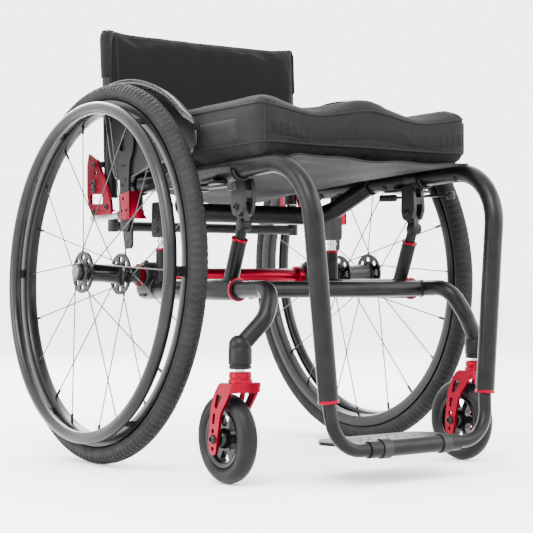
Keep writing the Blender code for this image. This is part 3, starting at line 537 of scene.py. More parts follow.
class Shape:
    """A mesh under construction, finished as one piece of the chair."""

    def __init__(self) -> None:
        """Start empty."""
        self.bm = bmesh.new()

    def sweep(self, path: Sequence[Vector], radius: float, sides: int = 28,
              taper: Optional[Sequence[float]] = None) -> "Shape":
        """Add a closed round tube along a path; taper gives a radius at each point.

        Args:
            path: Points of the centre line.
            radius: Its radius.
            sides: Sides of the section.
            taper: A radius for each point, instead of radius.

        Returns:
            This shape.
        """
        count = len(path)
        _, right, _ = basis(path[1] - path[0])
        rings = []
        for i, centre in enumerate(path):
            tangent = (path[min(i + 1, count - 1)] - path[max(i - 1, 0)]).normalized()
            right = (right - tangent * right.dot(tangent)).normalized()
            up = tangent.cross(right)
            size = taper[i] if taper else radius
            rings.append([self.bm.verts.new(centre + size * (math.cos(math.tau * k / sides) * right
                                                             + math.sin(math.tau * k / sides) * up))
                          for k in range(sides)])
        self.skin(rings, False)
        return self

    def skin(self, rings: list[list], closed: bool) -> None:
        """Join rings of equal count by quads, and cap them unless closed.

        Args:
            rings: Rows of vertices.
            closed: Whether the last ring joins the first.
        """
        pairs = list(zip(rings, rings[1:])) + ([(rings[-1], rings[0])] if closed else [])
        for low, high in pairs:
            count = max(len(low), len(high))
            for k in range(count):
                n = (k + 1) % count
                if len(low) == 1:
                    self.bm.faces.new((low[0], high[n], high[k]))
                elif len(high) == 1:
                    self.bm.faces.new((low[k], low[n], high[0]))
                else:
                    self.bm.faces.new((low[k], low[n], high[n], high[k]))
        if not closed:
            for ring in (rings[0], rings[-1]):
                if len(ring) > 1:
                    self.bm.faces.new(ring)

    def turned(self, profile: Sequence[Point2], origin: Vector, axis: Vector, segments: int = 40,
               closed: bool = False) -> "Shape":
        """Turn (along, radius) points about an axis; closed joins the last to the first.

        Args:
            profile: Points (along, radius).
            origin: Where along is 0.
            axis: The axis.
            segments: Steps round the axis.
            closed: Whether the last point joins the first.

        Returns:
            This shape.
        """
        along, right, up = basis(axis)
        rings = []
        for distance, radius in profile:
            centre = origin + along * distance
            if radius <= 0:
                rings.append([self.bm.verts.new(centre)])
                continue
            rings.append([self.bm.verts.new(centre + radius * (math.cos(math.tau * k / segments) * right
                                                               + math.sin(math.tau * k / segments) * up))
                          for k in range(segments)])
        self.skin(rings, closed)
        return self

    def rod(self, start: Vector, end: Vector, radius: float, sides: int = 24, bevel: float = 0.0) -> "Shape":
        """Add a round bar, its ends chamfered by bevel.

        Args:
            start: Centre of one end.
            end: Centre of the other.
            radius: Its radius.
            sides: Sides of the section.
            bevel: Width of the chamfers.

        Returns:
            This shape.
        """
        length = (end - start).length
        profile = [(0.0, 0.0), (0.0, radius - bevel)]
        if bevel:
            profile += [(bevel * 0.3, radius - bevel * 0.3), (bevel, radius)]
            profile += [(length - bevel, radius), (length - bevel * 0.3, radius - bevel * 0.3)]
        profile += [(length, radius - bevel), (length, 0.0)]
        return self.turned(profile, start, end - start, sides)

    def band(self, centre: Vector, axis: Vector, inner: float, outer: float, width: float,
             segments: int = 40) -> "Shape":
        """Add a collar with softened edges, centred on a point.

        Args:
            centre: Its centre.
            axis: Its axis.
            inner: Radius of the bore.
            outer: Outer radius.
            width: Length along the axis.
            segments: Steps round the axis.

        Returns:
            This shape.
        """
        half, soft = width / 2, min(width, outer - inner) * 0.22
        profile = [(-half, inner), (-half, outer - soft), (soft - half, outer), (half - soft, outer),
                   (half, outer - soft), (half, inner)]
        return self.turned(profile, centre, axis, segments, closed=True)

    def slab(self, outline: Sequence[Point2], holes: Sequence[Sequence[Point2]], origin: Vector,
             across: Vector, upward: Vector, thickness: float) -> "Shape":
        """Extrude a flat outline with holes, centred on its plane.

        Args:
            outline: Corners of the outline.
            holes: Corners of each hole.
            origin: Where the outline is at (0, 0).
            across: Direction of the first coordinate.
            upward: Direction of the second.
            thickness: Thickness.

        Returns:
            This shape.
        """
        across, upward = across.normalized(), upward.normalized()
        normal = across.cross(upward)
        loops = [list(outline)] + [list(hole) for hole in holes]
        flat = [[Vector((a, b, 0.0)) for a, b in loop] for loop in loops]
        corners = [p for loop in flat for p in loop]
        low, high = ([self.bm.verts.new(origin + normal * offset + across * p.x + upward * p.y)
                      for p in corners] for offset in (-thickness / 2, thickness / 2))
        for a, b, c in tessellate_polygon(flat):
            self.bm.faces.new((low[a], low[b], low[c]))
            self.bm.faces.new((high[c], high[b], high[a]))
        first = 0
        for loop in loops:
            count = len(loop)
            for k in range(count):
                a, b = first + k, first + (k + 1) % count
                self.bm.faces.new((low[a], low[b], high[b], high[a]))
            first += count
        return self

    def block(self, low: Vector, high: Vector) -> "Shape":
        """Add a box between two corners.

        Args:
            low: One corner.
            high: The corner across.

        Returns:
            This shape.
        """
        low, high = (Vector(map(pick, low, high)) for pick in (min, max))
        made = bmesh.ops.create_cube(self.bm, size=1.0)
        for vert in made["verts"]:
            vert.co = Vector((low[i] + (vert.co[i] + 0.5) * (high[i] - low[i]) for i in range(3)))
        return self

    def bolt(self, seat: Vector, axis: Vector, radius: float, height: float) -> "Shape":
        """Add a button-head bolt with a hexagon socket, standing on a seat along axis.

        Args:
            seat: Centre of the face under the head.
            axis: Where the head points.
            radius: Radius of the head.
            height: Height of the head.

        Returns:
            This shape.
        """
        well = radius * 0.48
        profile = [(-0.0006, 0.0), (-0.0006, radius), (height * 0.35, radius), (height * 0.8, radius * 0.86),
                   (height, radius * 0.62), (height, well)]
        self.turned(profile + [(height * 0.35, well), (height * 0.35, 0.0)], seat, axis, 24)
        return self

    def make(self, name: str, finish: Finish, body: str, replaces: Sequence[str] = (), bevel: float = 0.0,
             smooth: float = 38.0, level: int = 0) -> bpy.types.Object:
        """Finish the mesh as one piece.

        Args:
            name: The piece's name.
            finish: Its finish.
            body: The CAD body it rides on.
            replaces: CAD nodes that it stands for.
            bevel: Width of the softened edges, or 0.
            smooth: Edges sharper than this many degrees stay sharp.
            level: Subdivision level.

        Returns:
            The new object.
        """
        bmesh.ops.recalc_face_normals(self.bm, faces=self.bm.faces)
        mesh = bpy.data.meshes.new(name)
        self.bm.to_mesh(mesh)
        self.bm.free()
        mesh.shade_smooth()
        mesh.set_sharp_from_angle(angle=math.radians(smooth))
        mesh.materials.append(finish.material)
        piece = bpy.data.objects.new(name, mesh)
        bpy.context.scene.collection.objects.link(piece)
        if bevel:
            edge = piece.modifiers.new("edge", "BEVEL")
            edge.width = bevel
            edge.segments = 2
            edge.limit_method = "ANGLE"
            edge.angle_limit = math.radians(45)
            edge.harden_normals = False
        if level:
            soft = piece.modifiers.new("soft", "SUBSURF")
            soft.levels = level
            soft.render_levels = level
        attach(piece, body)
        if replaces:
            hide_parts(*replaces)
        log.info("%s on %s, %d faces", name, body, len(mesh.polygons))
        return piece


# ---- rear wheels ------------------------------------------------------------
@dataclass
class RearWheel:
    """A spoked drive wheel with its push rim, hub and quick-release axle."""

    side: Side
    radius: float = 0.298
    section: float = 0.0145
    rim_inner: float = 0.2520
    handrim_radius: float = 0.2575
    handrim_offset: float = 0.0300
    handrim_section: float = 0.0095
    flange_radius: float = 0.0330
    flange_offset: float = 0.0333
    spokes: int = 20
    tread_blocks: int = 168
    segments: int = 1008

    def __post_init__(self) -> None:
        """Read the wheel's place and axes from its joint."""
        spin = joint(f"wheel_spin_{self.side.tag}")
        self.centre = Vector(spin["pos_m"])
        self.outward = Vector(spin["axis"]).normalized()
        self.upward = (Z - self.outward * self.outward.z).normalized()
        self.along = self.outward.cross(self.upward)
        self.body = f"wheel_{self.side.tag}"

    def radial(self, turn: float) -> Vector:
        """The direction from the hub at an angle from upward."""
        return math.cos(turn) * self.upward + math.sin(turn) * self.along

    def build_tyre(self) -> None:
        """Build the tyre with a chevron tread cut as real grooves."""
        shape = Shape()
        ring, points = self.radius - self.section, 36
        rings = []
        per_block = self.segments / self.tread_blocks
        for i in range(self.segments):
            turn = math.tau * i / self.segments
            spoke = self.radial(turn)
            loop = []
            for k in range(points):
                lap = math.tau * k / points
                side = (lap + math.pi) % math.tau - math.pi
                size = self.section
                if abs(side) < 1.30:
                    zigzag = abs((abs(side) * 2.2) % 1.0 - 0.5)
                    phase = (i / per_block + 1.1 * zigzag) % 1.0
                    size -= 0.0016 if phase < 0.34 else 0.0
                elif 1.45 < abs(side) < 1.60:
                    size -= 0.0008
                size = min(size, self.section)
                loop.append(shape.bm.verts.new(self.centre + spoke * (ring + size * math.cos(lap))
                                               + self.outward * size * math.sin(lap)))
            rings.append(loop)
        shape.skin(rings, True)
        tag = self.side.tag
        shape.make(f"tyre_tread_{tag}", Finish.TYRE, self.body, [f"tyre_{tag}"], smooth=60)

    def build_rim(self) -> None:
        """Build the box-section rim and its joint with the nipples' seats."""
        half, lip, inner = 0.0117, 0.2708, self.rim_inner
        profile = [(-half, lip), (-half - 0.0003, lip - 0.006), (-half, inner + 0.0070),
                   (-half * 0.80, inner + 0.0022), (-half * 0.45, inner), (half * 0.45, inner),
                   (half * 0.80, inner + 0.0022), (half, inner + 0.0070), (half + 0.0003, lip - 0.006),
                   (half, lip), (half - 0.0025, lip), (half - 0.0045, 0.2685), (0.0045 - half, 0.2685),
                   (0.0025 - half, lip)]
        shape = Shape().turned(profile, self.centre, self.outward, 192, closed=True)
        shape.make(f"wheel_rim_{self.side.tag}", Finish.RIM, self.body, [f"rim_{self.side.tag}"], smooth=32)

    def build_handrim(self) -> None:
        """Build the push rim, its tabs and their screws."""
        shape = Shape()
        profile = [(self.handrim_offset + self.handrim_section * math.sin(math.tau * k / 24),
                    self.handrim_radius + self.handrim_section * math.cos(math.tau * k / 24))
                   for k in range(24)]
        shape.turned(profile, self.centre, self.outward, 224, closed=True)
        tabs, screws = Shape(), Shape()
        for k in range(6):
            turn = math.tau * (k + 0.5) / 6
            radial, tangent = self.radial(turn), self.radial(turn + math.pi / 2)
            low = self.centre + radial * (self.handrim_radius + 0.0038) + self.outward * 0.0120
            high = self.centre + radial * (self.handrim_radius + 0.0030) + self.outward * 0.0240
            outline = soften([(-0.0075, -0.0015), (0.0075, -0.0015), (0.0075, 0.0015), (-0.0075, 0.0015)],
                             0.001)
            middle, reach = (low + high) / 2, (high - low).length
            tabs.slab(outline, [], middle, tangent, radial, reach)
            for step in (-0.0042, 0.0042):
                screws.bolt(middle + radial * 0.0012 + tangent * step, radial, 0.0022, 0.0014)
        tag = self.side.tag
        shape.make(f"push_rim_{tag}", Finish.RIM, self.body, [f"handrim_{tag}"], smooth=40)
        tabs.make(f"push_rim_tabs_{tag}", Finish.FITTING, self.body, bevel=0.0004)
        screws.make(f"push_rim_screws_{tag}", Finish.FITTING, self.body)

    def build_hub(self) -> None:
        """Build the waisted barrel and the two drilled flanges."""
        bore = 0.0068
        profile = [(-0.0455, bore), (-0.0455, 0.0118), (-0.0445, 0.0125), (-0.0375, 0.0135),
                   (-0.0362, 0.0165), (-0.0310, 0.0190), (-0.0270, 0.0165), (-0.0200, 0.0148), (0.0, 0.0143),
                   (0.0200, 0.0148),
                   (0.0270, 0.0165), (0.0310, 0.0190), (0.0362, 0.0165), (0.0375, 0.0140), (0.0452, 0.0134),
                   (0.0460, 0.0128), (0.0460, 0.0109), (0.0402, 0.0109), (0.0402, bore)]
        shape = Shape().turned(profile, self.centre, self.outward, 48, closed=True)
        holes = [circle(0.0235 * math.cos(a), 0.0235 * math.sin(a), 0.0043, 20, 1.25, a)
                 for a in (math.tau * k / 8 for k in range(8))]
        pins = [circle(0.0305 * math.cos(a), 0.0305 * math.sin(a), 0.0010, 8)
                for a in (math.tau * (k + 0.5) / 10 for k in range(10))]
        for offset in (-self.flange_offset, self.flange_offset):
            shape.slab(circle(0, 0, self.flange_radius, 64), holes + pins + [circle(0, 0, 0.0150, 40)],
                       self.centre + self.outward * offset, self.upward, self.along, 0.0034)
        tag = self.side.tag
        shape.make(f"hub_shell_{tag}", Finish.GLOSS, self.body, [f"hub_{tag}"], bevel=0.0005)

    def build_spokes(self) -> None:
        """Lace the spokes and their nipples from alternate flanges."""
        spokes, nipples = Shape(), Shape()
        for k in range(self.spokes):
            side = 1 if k % 2 else -1
            lean = math.radians(24.0) * (1 if (k // 2) % 2 else -1)
            rim_turn = math.tau * k / self.spokes
            inner, outer = self.radial(rim_turn + lean), self.radial(rim_turn)
            start = self.centre + inner * 0.0305 + self.outward * side * (self.flange_offset + 0.0022)
            end = self.centre + outer * (self.rim_inner + 0.0010) + self.outward * side * 0.0028
            head = self.centre + inner * 0.0305 + self.outward * side * (self.flange_offset - 0.0026)
            way = (end - start).normalized()
            bend = start - self.outward * side * 0.0008
            spokes.sweep([head, bend, start + way * 0.0015, end], 0.00095, 8)
            nipples.rod(end - way * 0.0150, end + way * 0.0005, 0.0021, 12, 0.0004)
        spokes.make(f"spokes_{self.side.tag}", Finish.SPOKE, self.body)
        nipples.make(f"spoke_nipples_{self.side.tag}", Finish.FITTING, self.body)

    def build_axle(self) -> None:
        """Build the quick-release button, the receiver and the toothed camber ring."""
        tag = self.side.tag
        profile = [(0.0430, 0.0), (0.0430, 0.0105), (0.0470, 0.0105), (0.0482, 0.0098), (0.0489, 0.0080),
                   (0.0490, 0.0060), (0.0484, 0.0052), (0.0484, 0.0)]
        Shape().turned(profile, self.centre, self.outward, 40).make(
            f"release_button_{tag}", Finish.CAP, f"axle_button_body_{tag}", [f"axle_button_{tag}"], smooth=30)
        sleeve = [(-0.0632, 0.0066), (-0.0632, 0.0137), (-0.0622, 0.0145), (-0.0604, 0.0145),
                  (-0.0596, 0.0134), (-0.0560, 0.0132), (-0.0480, 0.0130), (-0.0462, 0.0122),
                  (-0.0460, 0.0066)]
        Shape().turned(sleeve, self.centre, self.outward, 40, closed=True).make(
            f"receiver_sleeve_{tag}", Finish.FITTING, "frame", [f"axle_receiver_{tag}"], smooth=30)
        teeth = 14
        outline = []
        for k in range(teeth * 4):
            size = 0.0182 if k % 4 in (1, 2) else 0.0163
            turn = math.tau * k / (teeth * 4)
            outline.append((size * math.cos(turn), size * math.sin(turn)))
        ring = Shape().slab(outline, [circle(0, 0, 0.0066, 24)], self.centre - self.outward * 0.0660,
                            self.upward, self.along, 0.0050)
        ring.make(f"toothed_ring_{tag}", Finish.RED, "frame", [f"camber_ring_{tag}"], bevel=0.0004)

    def build(self) -> None:
        """Build the whole wheel."""
        self.build_tyre()
        self.build_rim()
        self.build_handrim()
        self.build_hub()
        self.build_spokes()
        self.build_axle()


# ---- lower frame ------------------------------------------------------------
@dataclass(frozen=True)
class Layout:
    """The chair's shared centre lines, y counted from the rear axle."""

    seat_x: float = 0.176
    seat_rear: Point2 = (0.045, 0.4395)
    seat_front: Point2 = (-0.440, 0.4515)
    leg_foot: Point3 = (0.1457, -0.4432, 0.1195)
    lower_x: float = 0.166
    lower_z: float = 0.2715
    lower_front: float = -0.2512
    camber_z: float = 0.2935
    back_foot: Point3 = (0.184, 0.0975, 0.4240)
    back_recline: float = math.radians(2.0)
    caster_x: float = 0.2225
    caster_y: float = -0.3427

    def seat_point(self, sign: int, y: float) -> Vector:
        """The seat tube's centre line at a distance from the axle.

        Args:
            sign: Side of the chair.
            y: Distance along the chair.

        Returns:
            A point of the centre line.
        """
        share = (y - self.seat_rear[0]) / (self.seat_front[0] - self.seat_rear[0])
        height = self.seat_rear[1] + share * (self.seat_front[1] - self.seat_rear[1])
        return at(sign * self.seat_x, y, height)

    def leg_axis(self, sign: int) -> Vector:
        """Direction of the front leg, pointing up.

        Args:
            sign: Side of the chair.

        Returns:
            A unit vector.
        """
        x, y, z = self.leg_foot
        return (at(sign * self.seat_x, *self.seat_front) - at(sign * x, y, z)).normalized()

    def strut(self, kind: str, sign: int) -> tuple[Vector, Vector, Vector]:
        """Foot, collar and top of the front or rear strut.

        Args:
            kind: front or rear.
            sign: Side of the chair.

        Returns:
            The three points.
        """
        if kind == "front":
            foot, ring = at(sign * 0.1634, -0.2327, 0.2886), at(sign * 0.1635, -0.2552, 0.3455)
            return foot, ring, ring + (ring - foot).normalized() * 0.0290
        foot, ring = at(sign * 0.1690, -0.0440, 0.2900), at(sign * 0.1690, -0.0440, 0.3350)
        return foot, ring, ring + Z * 0.0190

    def cross_path(self) -> list[Vector]:
        """The rear cross tube: low across the middle, rising forward to each seat tube.

        Returns:
            Its centre line.
        """
        left = [(self.seat_x - 0.0015, -0.1420, 0.4420), (0.1430, -0.0600, 0.3940)]
        right = [(-x, y, z) for x, y, z in reversed(left)]
        return rounded([at(*p) for p in left + right], 0.040)

    @property
    def back_up(self) -> Vector:
        """Direction of the back canes."""
        return Vector((0, math.sin(self.back_recline), math.cos(self.back_recline)))


LAYOUT = Layout()


def weld(shape: Shape, origin: Vector, branch: Vector, main: Vector, radius: float, main_radius: float,
         bead: float = 0.0017) -> Shape:
    """Lay a rippled bead where a branch tube meets a main tube.

    Args:
        shape: The shape that gets the bead.
        origin: Where the two centre lines meet.
        branch: Direction of the branch, away from the joint.
        main: Direction of the main tube.
        radius: Radius of the branch.
        main_radius: Radius of the main tube.
        bead: Radius of the bead.

    Returns:
        The same shape.
    """
    branch, main = branch.normalized(), main.normalized()
    _, right, up = basis(branch)
    across = branch - main * branch.dot(main)
    path, sizes, count = [], [], 120
    for k in range(count + 1):
        turn = math.tau * k / count
        spoke = radius * (math.cos(turn) * right + math.sin(turn) * up)
        flat = spoke - main * spoke.dot(main)
        a, b, c = across.length_squared, 2 * across.dot(flat), flat.length_squared - main_radius ** 2
        path.append(origin + spoke + branch * ((math.sqrt(max(b * b - 4 * a * c, 0.0)) - b) / (2 * a)))
        sizes.append(bead * (1.0 + 0.16 * math.sin(turn * 24)))
    return shape.sweep(path, bead, 8, sizes)


@dataclass
class BaseFrame:
    """Lower side tubes, caster arms, crossbar, camber tube and axle clamps."""

    tube: float = 0.01575
    arm: float = 0.0123
    crossbar: float = 0.0122
    camber: float = 0.0125
    layout: Layout = LAYOUT

    def build_side(self, side: Side) -> None:
        """Build a lower side tube with its strut sockets, collar and rings.

        Args:
            side: Side of the chair.
        """
        lay, sign, tag = self.layout, side.sign, side.tag
        front = at(sign * lay.lower_x, lay.lower_front, lay.lower_z)
        rear = at(sign * lay.lower_x, -0.0303, lay.lower_z)
        shape, beads, rings = Shape(), Shape(), Shape()
        shape.rod(rear, front - Y * 0.0052, self.tube, 56, 0.0008)
        for kind, radius, bore in (("front", 0.01125, 0.0085), ("rear", 0.0108, 0.0075)):
            foot, ring, _ = lay.strut(kind, sign)
            length, along = (ring - foot).length, (ring - foot).normalized()
            profile = [(-0.010, 0.0), (-0.010, radius), (length - 0.0020, radius), (length - 0.0020, bore),
                       (length - 0.028, bore), (length - 0.028, 0.0)]
            shape.turned(profile, foot, along, 40)
            rings.band(ring - along * 0.0001, along, bore, radius + 0.0013, 0.0040, 40)
            root = foot - along * ((foot.z - lay.lower_z) / along.z)
            weld(beads, root, along, Y, radius, self.tube)
            screw = foot + along * (length - 0.0130)
            shape.bolt(screw - Y * (radius - 0.0006), -Y, 0.0030, 0.0018)
        rings.rod(front, front - Y * 0.0048, 0.0174, 56, 0.0007)
        shape.make(f"lower_tube_{tag}", Finish.COAT, "frame", [f"base_side_tube_{tag}"])
        beads.make(f"lower_tube_welds_{tag}", Finish.COAT, "frame")
        rings.make(f"red_collars_{tag}", Finish.RED, "frame")

    def build_arm(self, side: Side) -> None:
        """Build a caster arm with its stem housing, nut and dust cap.

        Args:
            side: Side of the chair.
        """
        lay, sign, tag = self.layout, side.sign, side.tag
        start = at(sign * lay.lower_x, lay.lower_front - 0.0050, lay.lower_z)
        end = at(sign * lay.caster_x, lay.caster_y, 0.1930)
        path = rounded([start, at(sign * 0.1672, -0.3420, 0.2735), at(sign * 0.1880, -0.3560, 0.2330), end],
                       0.034, 14)
        shape = Shape().sweep(path, self.arm, 44)
        stem = at(sign * lay.caster_x, lay.caster_y, 0)
        profile = [(0.1622, 0.0066), (0.1622, 0.0146), (0.1632, 0.0156), (0.1665, 0.0160), (0.1672, 0.0150),
                   (0.1685, 0.0150), (0.1692, 0.0165), (0.1900, 0.0165), (0.1912, 0.0158), (0.1925, 0.0163),
                   (0.2005, 0.0154), (0.2060, 0.0118), (0.2088, 0.0070), (0.2094, 0.0)]
        shape.turned([(0.1622, 0.0)] + profile, stem, Z, 48)
        shape.make(f"caster_arm_tube_{tag}", Finish.COAT, "frame", [f"caster_arm_{tag}"], bevel=0.0003)

    def build_clamp(self, side: Side) -> None:
        """Build the cast clamp at the camber tube's end, with its bolts.

        Args:
            side: Side of the chair.
        """
        lay, sign, tag = self.layout, side.sign, side.tag
        base = at(sign * 0.1348, 0, lay.camber_z)
        profile = [(0, 0.0), (0, 0.0168), (0.0012, 0.0180), (0.004, 0.0195), (0.0180, 0.0195),
                   (0.0188, 0.0180), (0.0204, 0.0180), (0.0212, 0.0195), (0.0440, 0.0195), (0.0476, 0.0184),
                   (0.0485, 0.0172),
                   (0.0485, 0.0)]
        shape = Shape().turned(profile, base, X * sign, 48)
        profile = [(0, 0.0), (0, 0.0128), (0.0022, 0.0155), (0.006, 0.0178), (0.0488, 0.0178),
                   (0.0500, 0.0168), (0.0500, 0.0)]
        shape.turned(profile, at(sign * lay.lower_x, 0.020, lay.lower_z + 0.002), -Y, 44)
        shape.block(at(sign * 0.150, -0.0085, 0.2600), at(sign * 0.182, 0.0085, 0.2760))
        shape.block(at(sign * 0.1420, -0.0065, lay.camber_z + 0.0150),
                    at(sign * 0.1800, 0.0065, lay.camber_z + 0.0222))
        bolts = Shape()
        for x in (0.1480, 0.1740):
            bolts.bolt(at(sign * x, 0, lay.camber_z + 0.0222), Z, 0.0042, 0.0030)
        bolts.bolt(at(sign * lay.lower_x, 0.0198, lay.lower_z + 0.002), Y, 0.0062, 0.0036)
        shape.make(f"clamp_casting_{tag}", Finish.FITTING, "frame", [f"axle_clamp_{tag}"], bevel=0.0006)
        bolts.make(f"clamp_bolts_{tag}", Finish.FITTING, "frame")

    def build(self) -> None:
        """Build both sides and the two tubes that join them."""
        for side in Side:
            self.build_side(side)
            self.build_arm(side)
            self.build_clamp(side)
        lay = self.layout
        bar = Shape().rod(at(-lay.lower_x, -0.283, lay.lower_z), at(lay.lower_x, -0.283, lay.lower_z),
                          self.crossbar, 48)
        bar.make("front_bar", Finish.COAT, "frame", ["front_crossbar"])
        beads = Shape()
        for side in Side:
            weld(beads, at(side.sign * lay.lower_x, -0.283, lay.lower_z + 0.0003), -X * side.sign, Y,
                 self.crossbar, self.arm)
        beads.make("front_bar_welds", Finish.COAT, "frame")
        tube = Shape().rod(at(-0.1345, 0, lay.camber_z), at(0.1345, 0, lay.camber_z), self.camber, 56, 0.0006)
        screws = Shape()
        for side in Side:
            tube.band(at(side.sign * 0.1283, 0, lay.camber_z), X, self.camber - 0.0005, 0.0166, 0.0125, 56)
            for turn in (-50, 35, 130):
                way = Vector((0, -math.cos(math.radians(turn)), math.sin(math.radians(turn))))
                screws.bolt(at(side.sign * 0.1283, 0, lay.camber_z) + way * 0.0163, way, 0.0030, 0.0016)
        tube.make("camber_bar", Finish.RED, "frame", ["camber_tube"], bevel=0.0003)
        screws.make("camber_bar_screws", Finish.FITTING, "frame")


# ---- struts and seat clamps -----------------------------------------------
@dataclass
class Struts:
    """Front and rear posts with the fittings that carry the seat frame."""

    pin: Point3 = (0.163, -0.262, 0.392)
    layout: Layout = LAYOUT

    def build_front(self, side: Side) -> None:
        """Build the telescoping front post, its fork head, tongue and pin.

        Args:
            side: Side of the chair.
        """
        lay, sign, tag = self.layout, side.sign, side.tag
        foot, ring, top = lay.strut("front", sign)
        along = (ring - foot).normalized()
        x, y, z = self.pin
        pin = at(sign * x, y, z)
        post = Shape().rod(ring - along * 0.0240, top, 0.0082, 40)
        post.rod(top - Vector((0.0088, 0, 0.006)), top + Vector((0.0088, 0, -0.006)), 0.0090, 36, 0.0008)
        weld(post, top - Z * 0.006, -along, X, 0.0082, 0.0090, 0.0011)
        post.make(f"front_post_tube_{tag}", Finish.COAT, "frame", [f"front_post_{tag}"])
        outline = soften([(-0.0120, -0.0250), (0.0050, -0.0250), (0.0085, 0.0000), (0.0060, 0.0080),
                          (-0.0040, 0.0085), (-0.0085, 0.0030)], 0.004)
        tongue = Shape().slab(outline, [], pin, Y, Z, 0.0100)
        tongue.make(f"front_tongue_{tag}", Finish.FITTING, "frame", bevel=0.0007)
        screws = Shape()
        for height in (0.008, 0.019):
            screws.bolt(ring + along * height - Y * 0.0078, -Y, 0.0024, 0.0012)
        for way in (-1, 1):
            screws.bolt(pin + X * way * 0.0115, X * way, 0.0052, 0.0032)
        screws.make(f"front_post_screws_{tag}", Finish.FITTING, "frame")

    def build_clamp(self, side: Side) -> None:
        """Build the cradle under the seat tube with its two ears and the lock's shelf.

        Args:
            side: Side of the chair.
        """
        lay, sign, tag = self.layout, side.sign, side.tag
        x, y, z = self.pin
        pin = at(sign * x, y, z)
        seat = lay.seat_point(sign, y)
        outline = soften([(0.0125, 0.0240), (0.0125, 0.0420), (-0.0130, 0.0420), (-0.0165, 0.0260),
                          (-0.0185, 0.0040), (-0.0120, -0.0105), (0.0000, -0.0145), (0.0100, -0.0100),
                          (0.0140, 0.0020)], 0.005)
        shape = Shape()
        for offset in (-0.0085, 0.0085):
            shape.slab(outline, [], pin + X * offset, Y, Z, 0.0060)
        shape.block(pin + Vector((-0.0100, -0.0165, 0.0130)), pin + Vector((0.0100, 0.0120, 0.0240)))
        reach = sign * 0.0500
        shape.block(pin + Vector((min(-0.0110, reach), 0.0120, 0.0340)),
                    pin + Vector((max(0.0110, reach), 0.0560, 0.0380)))
        arc = [math.radians(176 + 188 * k / 24) for k in range(25)]
        shell = [(0.0188 * math.cos(a), 0.0188 * math.sin(a)) for a in arc]
        shell += [(0.0143 * math.cos(a), 0.0143 * math.sin(a)) for a in reversed(arc)]
        shape.slab(shell, [], seat, X, Z, 0.0290)
        shape.make(f"seat_cradle_{tag}", Finish.FITTING, "frame", [f"seat_clamp_{tag}"], bevel=0.0007)
        yoke = [(0.0163 * math.cos(a), 0.0163 * math.sin(a)) for a in arc[2:-2]]
        path = [seat + X * a + Z * b - Y * 0.0195 for a, b in yoke]
        Shape().sweep(path, 0.0016, 10).make(f"seat_yoke_{tag}", Finish.FITTING, "frame")

    def build_rear(self, side: Side) -> None:
        """Build the polished rear post and the saddle under the seat tube.

        Args:
            side: Side of the chair.
        """
        _, ring, top = self.layout.strut("rear", side.sign)
        post = Shape().rod(ring - Z * 0.0240, top + Z * 0.0040, 0.0072, 40)
        post.band(top - Z * 0.0060, Z, 0.0070, 0.0092, 0.0030, 40)
        post.make(f"rear_post_tube_{side.tag}", Finish.STEEL, "frame", [f"rear_post_{side.tag}"])
        outline = soften([(-0.0150, 0.0), (0.0150, 0.0), (0.0165, 0.0120), (0.0150, 0.0560),
                          (-0.0150, 0.0560), (-0.0165, 0.0120)], 0.005)
        saddle = Shape().slab(outline, [], top, Y, Z, 0.0220)
        saddle.make(f"rear_saddle_{side.tag}", Finish.FITTING, "frame", bevel=0.0010)
        bolts = Shape()
        for height in (0.012, 0.030):
            bolts.bolt(top + X * side.sign * 0.0110 + Z * height, X * side.sign, 0.0045, 0.0028)
        bolts.make(f"rear_saddle_bolts_{side.tag}", Finish.FITTING, "frame")

    def build(self) -> None:
        """Build the struts of both sides."""
        for side in Side:
            self.build_front(side)
            self.build_clamp(side)
            self.build_rear(side)


